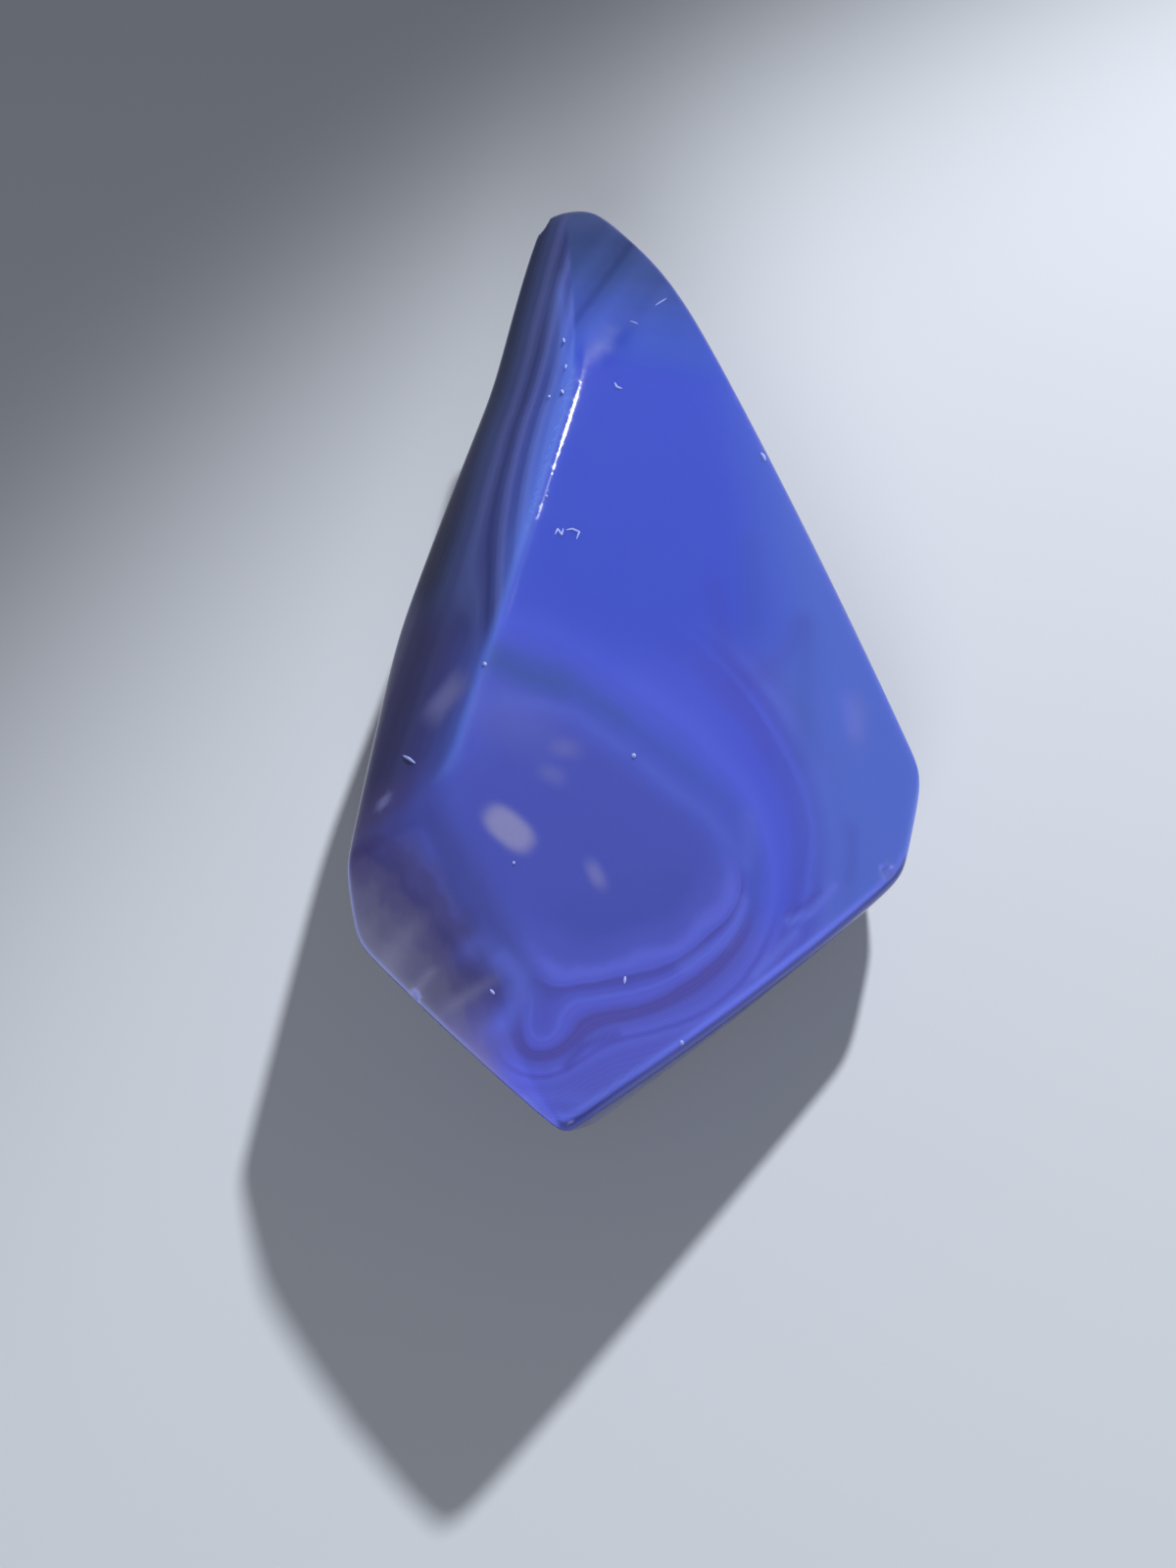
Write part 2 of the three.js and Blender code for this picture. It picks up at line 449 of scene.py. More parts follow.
@dataclass(frozen=True)
class Shell:
    """A closed mesh from rings of points, with a single point at each end.

    Attributes:
        rings: points as an array of rings, ring points and three coordinates, in millimetres.
        first: the end point before the first ring.
        last: the end point after the last ring.
    """

    rings: Array
    first: Array
    last: Array

    def points(self) -> Array:
        """All points as rows of three: the rings in order, then both ends."""
        return np.concatenate([self.rings.reshape(-1, 3), self.first[None], self.last[None]])

    def faces(self) -> list[Array]:
        """The four-sided faces between the rings and the three-sided ones at the ends.

        Returns:
            Two index arrays, wound so that the faces point outwards.
        """
        rings, around = self.rings.shape[:2]
        here = np.arange(rings * around).reshape(rings, around)
        beside = np.roll(here, -1, axis=1)
        quads = np.stack([here[:-1], here[1:], beside[1:], beside[:-1]], axis=-1).reshape(-1, 4)
        start = np.full(around, rings * around)
        fans = np.concatenate([
            np.stack([start, here[0], beside[0]], axis=-1),
            np.stack([start + 1, beside[-1], here[-1]], axis=-1),
        ])
        if self.inside_out(fans, quads):
            return [quads[:, ::-1], fans[:, ::-1]]
        return [quads, fans]

    def inside_out(self, fans: Array, quads: Array) -> bool:
        """Whether the faces enclose a negative volume, summed over their triangles.

        Args:
            fans: the three-sided faces.
            quads: the four-sided ones.

        Returns:
            True where they are wound the wrong way.
        """
        points = self.points()
        triangles = np.concatenate([fans, quads[:, [0, 1, 2]], quads[:, [0, 2, 3]]])
        a, b, c = (points[triangles[:, k]] for k in range(3))
        return float((a * np.cross(b, c)).sum()) < 0


def show(name: str, data: bpy.types.ID) -> bpy.types.Object:
    """A mesh, light or camera as an object of the scene.

    Args:
        name: the object's name.
        data: what it shows.

    Returns:
        The object, at the origin.
    """
    shown = bpy.data.objects.new(name, data)
    bpy.context.scene.collection.objects.link(shown)
    return shown


def mesh_of(
    name: str, shells: Sequence[Shell], finish: bpy.types.Material
) -> bpy.types.Object:
    """One smooth object from closed shells.

    Args:
        name: the piece's name.
        shells: the shells, in millimetres.
        finish: its material.

    Returns:
        The object, at the origin, with its place in its mesh in metres.
    """
    points = []
    faces = []
    count = 0
    for shell in shells:
        own = shell.points()
        faces += [indices for group in shell.faces() for indices in (group + count).tolist()]
        points.append(own)
        count += len(own)
    mesh = bpy.data.meshes.new(name)
    mesh.from_pydata((np.concatenate(points) * MM).tolist(), [], faces)
    mesh.polygons.foreach_set("use_smooth", np.ones(len(faces), dtype=bool))
    mesh.materials.append(finish)
    mesh.update()
    return show(name, mesh)


class Trait(Enum):
    """What the stone's mesh tells its finish at each point, as named attributes."""

    BAND = "band_level"
    CRISP = "band_crispness"
    CALM = "calm_blue"
    CORNER = "corner_grey"
    TIP = "tip_grey_and_shade"
    FAN = "tip_streaks"
    FLANK = "flank"
    STRIPE = "flank_stripes"
    UNDER = "flank_brown"
    HEEL = "flank_heel"
    DEPTH = "flank_depth"
    CLEAR = "lower_left_depth"
    LOWER_LEFT = "lower_left"
    FOOT = "lower_left_foot"
    WALL = "wall"
    LAYER = "wall_layers"
    PALE = "pale_spots"
    WARM = "warm_spots"
    WISP = "white_wisps"
    GLOW = "light_lines"
    PLUM = "plum_lines"
    MOSS = "grey_lines"
    RIM = "rim_light"
    RIDGE = "ridge_light"
    STRIP = "edge_shade_strip"
    STRIP_LINE = "edge_strip_line"
    WORN = "worn_edges"
    VEIL = "floor_reflection_shade"
    CHIP = "chips"
    LIGHT = "share_of_light"


@dataclass(frozen=True)
class FaceMap:
    """The main face laid flat.

    Across runs down its slope, along runs towards the tip, both in millimetres from a zero
    point near the middle of the bands.
    """

    zero: Point = (-1.94, -16.76, 15.17)

    def axes(self, form: StoneForm) -> tuple[Array, Array, Array]:
        """The main face's own axes.

        Args:
            form: the stone's form.

        Returns:
            The unit vectors across it and along it, and its normal.
        """
        normal = form.main_face().normal
        across = unit(np.array([normal[2], 0.0, -normal[0]]))
        return across, np.cross(normal, across), normal

    def flatten(self, form: StoneForm, places: Array) -> tuple[Array, Array]:
        """Places laid flat.

        Args:
            form: the stone's form.
            places: points as rows of three.

        Returns:
            Their distances across and along the main face.
        """
        across, along, _ = self.axes(form)
        offset = places - np.array(self.zero)
        return offset @ across, offset @ along


@dataclass(frozen=True)
class Survey:
    """The measures of surface points that the zones are laid out by, in millimetres.

    Attributes:
        places: the points, as rows of three.
        across: how far across the main face they lie, down its slope.
        along: how far along it, towards the tip.
        depth: how deep below it.
        steep: how far from the ridge, onto the flank.
        up_ridge: how far up the ridge from its low end.
        rim: how far from the girdle, onto the walls.
        below: how deep below all faces above the girdle.
        lower_right: how far from the next wall, onto the lower right one.
    """

    places: Array
    across: Array
    along: Array
    depth: Array
    steep: Array
    up_ridge: Array
    rim: Array
    below: Array
    lower_right: Array


@dataclass(frozen=True)
class Border:
    """A straight line on the main face, by a point on it and the way it faces."""

    point: Flat
    heading: Flat

    def beyond(self, survey: Survey) -> Array:
        """How far places lie beyond the line."""
        step = (survey.across - self.point[0]) * self.heading[0]
        return step + (survey.along - self.point[1]) * self.heading[1]


@dataclass(frozen=True)
class Bands:
    """The eye of bands under the main face.

    Each guide line is a closed curve about the centre, given by its radius in millimetres at
    every twelfth of a turn from across. The level is 1 on the rim line, 2 on the dark line, 3
    on the light line and 4 on the plum line, and grows evenly between them and beyond.
    """

    centre: Flat = (1.0, -1.5)
    rim: tuple[float, ...] = (7.0, 6.8, 6.1, 7.0, 10.2, 12.0, 11.0, 10.1, 8.9, 6.4, 5.85, 5.95)
    dark: tuple[float, ...] = (8.0, 8.4, 7.6, 8.7, 13.0, 15.0, 13.0, 11.0, 10.0, 8.9, 7.7, 7.5)
    light: tuple[float, ...] = (9.1, 9.5, 9.9, 11.5, 15.7, 18.0, 15.0, 12.5, 11.2, 9.8, 9.0, 8.8)
    plum: tuple[float, ...] = (
        10.4, 12.4, 14.2, 17.0, 20.0, 22.0, 18.0, 14.5, 12.6, 10.9, 10.0, 10.0)
    spacing: float = 2.2
    lean_along: float = -0.8
    fold_across: Bell = Bell(-3.9, 3.2)
    fold_drop: float = 3.6
    fold_start: Fade = Fade(8.8, 13.3)
    crisp_heading: float = -60.0
    crisp_edge: Fade = Fade(54.0, 84.0)
    crisp_twist: float = 22.0
    crisp_reach: float = 12.0
    crisp_outside: Fade = Fade(0.9, 1.9)

    def radii(self, turns: Array) -> list[Array]:
        """Every guide line's radius at some headings, by a closed cubic through its values.

        Args:
            turns: headings as shares of a whole turn.

        Returns:
            One array for each guide line, from the centre outwards.
        """
        step = np.mod(turns, 1.0) * len(self.rim)
        cell = np.floor(step).astype(int)
        share = step - cell
        found = []
        for line in (self.rim, self.dark, self.light, self.plum):
            before, here, there, after = (
                np.take(line, (cell + k) % len(line)) for k in (-1, 0, 1, 2)
            )
            slope = (there - before) / 2
            end_slope = (after - here) / 2
            rise = there - here
            found.append(
                here + share * (slope + share * (
                    3 * rise - 2 * slope - end_slope + share * (slope + end_slope - 2 * rise)))
            )
        return found

    def fold(self, survey: Survey) -> Array:
        """How far the fold near the foot pulls the bands down, as a bell curve across."""
        start = self.fold_start.rise(-survey.along)
        return self.fold_drop * self.fold_across.over(survey.across) * start

    def headings(self, survey: Survey) -> tuple[Array, Array]:
        """Where places lie about the centre, which leans as the bands go down into the stone.

        Args:
            survey: the places.

        Returns:
            Their radius, and their heading as a share of a whole turn.
        """
        x = survey.across - self.centre[0]
        y = survey.along + self.fold(survey) + self.lean_along * survey.depth - self.centre[1]
        return np.hypot(x, y), np.arctan2(y, x) / (2 * math.pi)

    def level(self, survey: Survey) -> Array:
        """The band level: how many guide lines a place lies beyond, evenly between two lines.

        Args:
            survey: the places.

        Returns:
            One level for each place.
        """
        radius, turns = self.headings(survey)
        level = np.zeros_like(radius)
        inner = np.zeros_like(radius)
        for outer in self.radii(turns):
            level += np.clip((radius - inner) / (outer - inner), 0.0, 1.0)
            inner = outer
        return level + np.maximum(radius - inner, 0.0) / self.spacing

    def crispness(self, survey: Survey) -> Array:
        """How fine and sharp the bands are, by the angle from a heading to the lower right.

        The outer bands turn soft sooner on the upper side, by a twist.

        Args:
            survey: the places.

        Returns:
            One around that heading, and zero elsewhere.
        """
        _, turns = self.headings(survey)
        off = np.mod(turns * 360 - self.crisp_heading + 180, 360) - 180
        outer = self.crisp_outside.rise(self.level(survey))
        off = np.where(off > 0, off + self.crisp_twist * outer, -off - self.crisp_reach)
        return self.crisp_edge.fall(off)


@dataclass(frozen=True)
class Spot:
    """A soft spot just under the polish: mostly a pale or warm cloud, and near the tip a patch of
    painted shade.

    Attributes:
        at: its middle on the surface, in millimetres.
        heading: where its long axis points, in degrees from across, on the main face.
        long: half its length.
        short: half its width.
        soft: the share of its size over which it fades.
        strength: how strong it is, from 0 to 1.
        thick: how far it reaches off the main face's plane.
        square: the power of its outline. Two would make an ellipse, and more fills the corners.
    """

    at: Point
    heading: float
    long: float
    short: float
    soft: float
    strength: float
    thick: float = 3.0
    square: float = 2.6

    def cover(self, across: Array, along: Array, turned: Array) -> Array:
        """How much of the spot lies at places, as a soft-edged rounded rectangle.

        The reach is the root of the summed powers of both distances, each as a share of the
        spot's half size, plus the share of its thickness.

        Args:
            across: distances across, from the spot's middle.
            along: distances along, from the spot's middle.
            turned: distances off the surface, from the spot's middle.

        Returns:
            The cover, from 0 to its strength.
        """
        heading = math.radians(self.heading)
        x = (across * math.cos(heading) + along * math.sin(heading)) / self.long
        y = (along * math.cos(heading) - across * math.sin(heading)) / self.short
        reach = (np.abs(x) ** self.square + np.abs(y) ** self.square) ** (1 / self.square)
        reach = reach + np.abs(turned) / self.thick
        return self.strength * Fade(1 - self.soft, 1 + self.soft).fall(reach)


@dataclass(frozen=True)
class Stroke:
    """A soft streak of another colour in the stone, along a short path.

    Attributes:
        path: points as distances across and along the main face.
        width: its half-width.
        strength: how strong it is, from 0 to 1.
    """

    path: tuple[Flat, ...]
    width: float
    strength: float

    def cover(self, survey: Survey) -> Array:
        """A bell curve over the distance to the nearest stretch of the path.

        Args:
            survey: the places.

        Returns:
            The cover, from 0 to its strength.
        """
        near = np.full(survey.across.shape, math.inf)
        for start, end in zip(self.path, self.path[1:]):
            run = np.subtract(end, start)
            x = survey.across - start[0]
            y = survey.along - start[1]
            share = np.clip((x * run[0] + y * run[1]) / (run @ run), 0.0, 1.0)
            near = np.minimum(near, np.hypot(x - share * run[0], y - share * run[1]))
        return self.strength * hump(near, 0.0, self.width)


@dataclass(frozen=True)
class Strokes:
    """All streaks of the main face and the lower left, by their colour."""

    glow: tuple[Stroke, ...] = (
        Stroke(((-6.5, -7.2), (-5.4, -8.1)), 0.6, 0.35),
        Stroke(((-5.4, -8.1), (-4.4, -9.1), (-4.3, -10.2), (-4.6, -11.2)), 0.6, 0.6),
        Stroke(((8.3, -2.2), (7.9, -3.6), (7.3, -4.8), (5.7, -6.1), (4.7, -7.0)), 0.35, 0.5),
        Stroke(((8.6, 3.0), (8.6, 1.4), (8.4, 0.2)), 0.6, 0.3),
        Stroke(((-3.0, -15.0), (-0.5, -15.3), (1.0, -15.0)), 0.35, 0.35),
        Stroke(((14.0, 0.0), (12.5, -2.0), (11.0, -2.9)), 0.24, 0.9),
        Stroke(((11.5, -3.4), (10.2, -5.0), (9.0, -6.5)), 0.24, 0.7),
        Stroke(((15.1, 12.6), (15.5, 10.6)), 0.6, 0.6),
        Stroke(
            ((-6.0, 7.0), (-2.0, 7.0), (1.0, 5.5), (4.0, 3.8), (6.0, 2.5), (7.8, 1.0)), 0.5, 0.15),
    )
    plum: tuple[Stroke, ...] = (
        Stroke(((12.5, 17.5), (11.0, 14.5), (10.0, 13.0), (8.5, 12.2), (8.0, 11.5)), 0.7, 0.2),
        Stroke(((6.5, 18.0), (7.2, 14.0), (8.0, 12.0)), 0.8, 0.2),
        Stroke(((1.0, -11.5), (-0.9, -12.5), (-1.6, -13.6)), 0.25, 0.6),
        Stroke(((13.2, -0.5), (12.0, -1.8), (11.0, -2.5)), 0.22, 0.5),
        Stroke(((15.2, 4.0), (15.2, 2.0), (14.9, 0.5)), 0.35, 0.25),
    )
    moss: tuple[Stroke, ...] = (
        Stroke(((-7.4, 9.6), (-5.5, 8.8), (-3.0, 8.6)), 1.0, 0.9),
        Stroke(((-3.0, 8.6), (-0.5, 7.8), (0.5, 7.3)), 0.9, 0.45),
        Stroke(((0.5, 7.3), (2.5, 6.3), (5.0, 5.0)), 0.8, 0.12),
        Stroke(((9.0, 22.0), (9.0, 16.0)), 0.8, 0.3),
        Stroke(((12.6, 17.0), (12.2, 8.0)), 0.8, 0.3),
    )
    wisp: tuple[Stroke, ...] = (
        Stroke(((-8.1, -8.4), (-7.8, -7.7)), 0.25, 0.2),
        Stroke(((-9.4, -6.6), (-9.0, -5.4)), 0.7, 0.12),
        Stroke(((-6.6, -9.6), (-5.6, -9.2)), 0.35, 0.15),
    )

    def traits(self, survey: Survey) -> dict[Trait, Array]:
        """The streaks as traits, each the strongest cover of one colour's streaks.

        Args:
            survey: the surface points.

        Returns:
            One value for each point, by trait.
        """
        kinds = {
            Trait.WISP: self.wisp, Trait.GLOW: self.glow,
            Trait.PLUM: self.plum, Trait.MOSS: self.moss,
        }
        return {
            trait: np.maximum.reduce([stroke.cover(survey) for stroke in strokes])
            for trait, strokes in kinds.items()
        }


@dataclass(frozen=True)
class Lint:
    """A fibre or speck of dust that lies on the polish: a fine tube along a short path.

    Attributes:
        path: points near the surface, in millimetres.
        radius: the tube's radius at its middle.
        sink: how high the tube's middle lies over the surface, as a share of the radius.
    """

    path: tuple[Point, ...]
    radius: float = 0.07
    rings: int = 20
    ring_points: int = 8
    sink: float = 0.1

    def shell(self, form: StoneForm) -> Shell:
        """The tube, swept along the path laid on the stone.

        Its radius follows the square root of the sine, from nothing at one end to nothing at
        the other.

        Args:
            form: the stone's form, to lay the path on.

        Returns:
            The closed shell.
        """
        goals = np.linspace(0.0, len(self.path) - 1, self.rings + 2)
        knots = np.arange(len(self.path))
        axes = np.transpose(self.path)
        line = np.stack([np.interp(goals, knots, axis) for axis in axes], axis=-1)
        normals = form.normals(line, chipped=False)
        line = line - normals * form.outside(line, chipped=False)[:, None]
        line = line + normals * self.radius * self.sink
        ahead = unit(np.gradient(line, axis=0))
        side = unit(np.cross(normals, ahead))
        rise = np.cross(ahead, side)
        share = goals / (len(self.path) - 1)
        size = self.radius * np.sqrt(np.maximum(np.sin(share * math.pi), 0.0))
        turns = np.arange(self.ring_points) / self.ring_points * 2 * math.pi
        ring = side[:, None] * np.cos(turns)[:, None] + rise[:, None] * np.sin(turns)[:, None]
        tube = line[:, None] + ring * size[:, None, None]
        return Shell(tube[1:-1], line[0], line[-1])


@dataclass(frozen=True)
class Dust:
    """All lint on the stone, as one piece."""

    fibres: tuple[Lint, ...] = (
        Lint(((-13.35, -10.95, 13.94), (-12.96, -11.56, 14.57), (-12.5, -12.39, 15.32)), 0.08),
        Lint(((-1.39, 14.66, 16.52), (-1.27, 14.3, 16.48), (-0.91, 14.27, 16.34)), 0.08),
        Lint((
            (-4.92, 1.9, 17.56), (-4.75, 2.37, 17.52), (-4.53, 2.02, 17.4), (-4.42, 2.55, 17.39))),
        Lint((
            (-4.3, 2.44, 17.33), (-3.91, 2.64, 17.18), (-3.51, 2.56, 17.01), (-3.68, 1.95, 17.05))),
        Lint(((7.65, 12.39, 12.65), (7.83, 12.15, 12.56), (7.94, 11.81, 12.5)), 0.12),
        Lint(((-0.36, 20.3, 16.05), (0.15, 20.15, 15.85)), 0.04),
        Lint(((1.21, 22.18, 15.35), (1.95, 23.1, 15.0)), 0.04),
        Lint(((-1.04, -24.88, 13.9), (-1.09, -25.33, 13.88)), 0.08),
    )
    specks: tuple[Lint, ...] = (
        Lint(((-0.6, -11.6, 14.85), (-0.35, -11.5, 14.78)), 0.14),
        Lint(((-8.75, -7.7, 18.28), (-8.6, -7.95, 18.34)), 0.12),
        Lint(((-7.0, -19.6, 16.79), (-6.85, -19.7, 16.75)), 0.09),
        Lint(((-5.4, 14.35, 15.62), (-5.33, 14.1, 15.79)), 0.1),
        Lint(((1.8, -27.8, 12.19), (2.05, -27.9, 11.96)), 0.11),
        Lint(((-8.1, -26.15, 14.8), (-7.85, -26.45, 14.85)), 0.08),
        Lint(((-4.52, 18.96, 15.85), (-4.46, 18.4, 16.02)), 0.08),
        Lint(((-4.32, 16.1, 16.56), (-4.38, 15.7, 16.56)), 0.08),
        Lint(((-4.6, 13.85, 16.71), (-4.5, 13.3, 17.01)), 0.1),
        Lint(((-5.45, 4.63, 17.88), (-5.39, 4.43, 17.86)), 0.09),
    )

    def build(self, form: StoneForm, finish: bpy.types.Material) -> bpy.types.Object:
        """The lint as a piece.

        Args:
            form: the stone's form, which it lies on.
            finish: its material.

        Returns:
            The piece, riding with the stone.
        """
        shells = [lint.shell(form) for lint in (*self.fibres, *self.specks)]
        piece = mesh_of("surface_lint", shells, finish)
        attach(piece, BODY)
        return piece


@dataclass(frozen=True)
class LintFinish:
    """Pale dusty cotton, dull, tinted blue by painted light from the stone below."""

    colour: Rgb = (130, 142, 196)
    lighter: float = 1.5
    mottling: float = 0.2
    roughness: float = 0.8
    gloss: float = 0.2

    def material(self) -> bpy.types.Material:
        """The finish as a material, with its tone broken up by fine noise.

        Returns:
            The material.
        """
        sheet = NodeSheet("pale_lint")
        low = linear(self.colour)
        high = tuple(min(1.0, value * self.lighter) for value in low)
        sheet.dress({
            "Base Color": sheet.mix(sheet.noise(self.mottling), low, high),
            "Roughness": self.roughness,
            "Specular IOR Level": self.gloss,
        })
        return sheet.material


@dataclass(frozen=True)
class FaceZones:
    """The zones of the main face: its bands, its calm middle, its right corner and its tip."""

    bands: Bands = Bands()
    strokes: Strokes = Strokes()
    calm: Fade = Fade(8.0, 15.0)
    calm_sag: float = 0.25
    corner: Fade = Fade(10.0, 17.0)
    corner_lean: float = 0.15
    tip_lean: float = 0.1
    fan: Border = Border(point=(-2.1, 35.0), heading=(-0.904, 0.427))

    def traits(self, survey: Survey) -> dict[Trait, Array]:
        """The traits of the main face.

        Args:
            survey: the surface points.

        Returns:
            One value for each point, by trait.
        """
        across, along = survey.across, survey.along
        return self.strokes.traits(survey) | {
            Trait.BAND: self.bands.level(survey),
            Trait.CRISP: self.bands.crispness(survey),
            Trait.CALM: self.calm.rise(along - self.calm_sag * np.abs(across)),
            Trait.CORNER: self.corner.rise(across + self.corner_lean * along),
            Trait.TIP: along - self.tip_lean * across,
            Trait.FAN: self.fan.beyond(survey),
        }


@dataclass(frozen=True)
class LowerLeftZones:
    """The cloudy lower left. At the foot its border is nearer, and it turns lighter."""

    border: Border = Border(point=(-9.5, 0.0), heading=(-0.856, -0.517))
    edge: Fade = Fade(-1.4, 0.2)
    sole: Fade = Fade(8.5, 11.5)
    sole_edge: Fade = Fade(3.3, 5.0)
    foot: Fade = Fade(8.5, 13.0)

    def traits(self, survey: Survey) -> dict[Trait, Array]:
        """The traits of the lower left.

        Args:
            survey: the surface points.

        Returns:
            One value for each point, by trait.
        """
        clear = self.border.beyond(survey)
        sole = self.sole.rise(-survey.along)
        upper = self.edge.rise(clear) * (1 - sole)
        return {
            Trait.CLEAR: clear,
            Trait.LOWER_LEFT: upper + self.sole_edge.rise(-survey.across) * sole,
            Trait.FOOT: self.foot.rise(-survey.along),
        }


@dataclass(frozen=True)
class FlankZones:
    """The flank: its stripes, which bend away from the ridge, and its browner low end.

    The bend is the height of a hyperbola, flat at its middle and straight far from it.
    """

    edge: Fade = Fade(-0.05, 0.3)
    low_widening: float = 1.3
    low_end: Fade = Fade(-1.0, 4.0)
    bend_middle: float = 28.8
    bend_round: float = 12.0
    bend_rise: float = 0.53
    bend_low_share: float = 0.85
    bend_low_fade: Fade = Fade(2.5, 7.5)
    under: Fade = Fade(8.0, 13.0)
    under_lean: float = 0.8
    heel: Fade = Fade(1.0, 5.0)
    veil_loss: float = 0.7
    veil_end: Fade = Fade(32.0, 40.0)

    def traits(self, survey: Survey) -> dict[Trait, Array]:
        """The traits of the flank.

        Args:
            survey: the surface points.

        Returns:
            One value for each point, by trait.
        """
        steep, up_ridge = survey.steep, survey.up_ridge
        widening = self.low_widening * self.low_end.fall(up_ridge)
        flank = smooth_step(steep, self.edge.low - widening, self.edge.high + widening)
        away = np.hypot(up_ridge - self.bend_middle, self.bend_round) - self.bend_round
        low_share = self.bend_low_share * self.bend_low_fade.fall(steep)
        bend_share = np.where(up_ridge < self.bend_middle, low_share, 1.0)
        return {
            Trait.FLANK: flank,
            Trait.STRIPE: steep + self.bend_rise * away * bend_share,
            Trait.UNDER: self.under.fall(up_ridge - self.under_lean * survey.depth),
            Trait.HEEL: self.heel.fall(up_ridge),
            Trait.DEPTH: survey.depth,
            # Painted shade on the flank that takes off the floor's reflection in its polish, weaker
            # towards the tip.
            Trait.VEIL: flank * (1 - self.veil_loss * self.veil_end.rise(up_ridge)),
        }


@dataclass(frozen=True)
class RidgeLight:
    """The light along the ridge: a line beside it with a wide glow, from near its low end."""

    beside: float = 0.2
    tip_turn: float = 0.9
    tip_turn_start: Fade = Fade(32.0, 35.5)
    line: float = 0.65
    line_width: float = 0.42
    glow: float = 0.35
    glow_beside: float = 0.5
    glow_width: float = 1.0
    glow_start: Fade = Fade(12.0, 20.0)
    start: Fade = Fade(0.9, 2.4)
    low_share: float = 0.6
    full: Fade = Fade(8.0, 21.0)
    tip_loss: float = 0.5
    tip_dim: Fade = Fade(30.0, 36.0)
    end: Fade = Fade(40.0, 44.0)

    def strength(self, survey: Survey) -> Array:
        """Bell curves over the distance from the ridge, as strong as the place along it says.

        Args:
            survey: the surface points.

        Returns:
            The strength at each point, from 0 to 1.
        """
        steep, up_ridge = survey.steep, survey.up_ridge
        middle_line = self.beside + self.tip_turn * self.tip_turn_start.rise(up_ridge)
        glow = self.glow * hump(steep, middle_line + self.glow_beside, self.glow_width)
        line = self.line * hump(steep, middle_line, self.line_width)
        light = line + glow * self.glow_start.rise(up_ridge)
        low_end = self.low_share + (1 - self.low_share) * self.full.rise(up_ridge)
        tip_end = 1 - self.tip_loss * self.tip_dim.rise(up_ridge)
        ends = self.start.rise(up_ridge) * self.end.fall(up_ridge)
        return light * low_end * tip_end * ends


@dataclass(frozen=True)
class EdgeZones:
    """The walls and edges: lit ridge and rim, wear, and painted shade under the lower right edge.
    """

    wall: Fade = Fade(-0.1, 0.3)
    layer_lean: Flat = (-0.05, 0.06)
    ridge: RidgeLight = RidgeLight()
    rim: Bell = Bell(-0.12, 0.16)
    rim_end: Fade = Fade(2.0, 8.0)
    rim_lean: float = 0.8
    # Painted shade on the lower right wall just under the edge, with a painted light line along it.
    strip: Fade = Fade(-0.6, -0.3)
    strip_end: Fade = Fade(0.5, 1.5)
    strip_top: Fade = Fade(-0.5, -0.28)
    strip_line: Bell = Bell(-0.62, 0.15)
    worn: Bell = Bell(0.1, 0.4)
    worn_start: Fade = Fade(16.0, 22.0)
    worn_end: Fade = Fade(31.0, 34.0)
    chip_edge: Fade = Fade(-0.12, -0.02)

    def traits(self, form: StoneForm, survey: Survey) -> dict[Trait, Array]:
        """The traits of the walls and the edges.

        Args:
            form: the stone's form, with its chips.
            survey: the surface points.

        Returns:
            One value for each point, by trait.
        """
        across, along, up_ridge = survey.across, survey.along, survey.up_ridge
        wall = self.wall.rise(survey.rim)
        strip = self.strip.rise(survey.lower_right) * self.strip_end.rise(-survey.steep)
        worn = self.worn.over(survey.steep) * self.worn_start.rise(up_ridge)
        lean = self.layer_lean[0] * across + self.layer_lean[1] * along
        rim_end = self.rim_end.fall(across - self.rim_lean * along)
        chips = [
            chip.pale * self.chip_edge.rise(chip.height(survey.places)) for chip in form.chips
        ]
        return {
            Trait.WALL: wall,
            Trait.LAYER: survey.below + lean,
            Trait.RIM: self.rim.over(survey.rim) * rim_end,
            Trait.RIDGE: self.ridge.strength(survey) * (1 - wall),
            Trait.STRIP: strip * self.strip_top.rise(survey.rim),
            Trait.STRIP_LINE: strip * self.strip_line.over(survey.rim),
            Trait.WORN: worn * self.worn_end.fall(up_ridge),
            Trait.CHIP: np.maximum.reduce(chips),
        }


@dataclass(frozen=True)
class LightShares:
    """How much light a surface gets, as a share of what shows its colour as it is.

    Attributes:
        key: the share from the main light, on a surface that faces it.
        fill: the share from the weak light, on a surface that faces it.
        sky: the share from all round.
        walls: the share that the walls count with, whichever way they face.
        chip_margin: how far from a chip its own slope counts.
    """

    key: float = 1.53
    fill: float = 0.52
    sky: float = 0.18
    walls: float = 0.85
    chip_margin: float = 0.1

    def at(self, form: StoneForm, places: Array, wall: Array) -> Array:
        """The summed shares at surface points, each light's by how squarely they face it.

        Args:
            form: the stone's form.
            places: the points, as rows of three.
            wall: how much each point belongs to a wall.

        Returns:
            The share at each point.
        """
        chip = np.maximum.reduce([chip.height(places) for chip in form.chips])
        in_chip = (chip > -self.chip_margin)[:, None]
        normals = np.where(in_chip, form.normals(places), form.normals(places, chipped=False))
        lit = self.key * facing(normals, KEY_HEADING) + self.fill * facing(normals, FILL_HEADING)
        return (lit + self.sky) * (1 - wall) + self.walls * wall


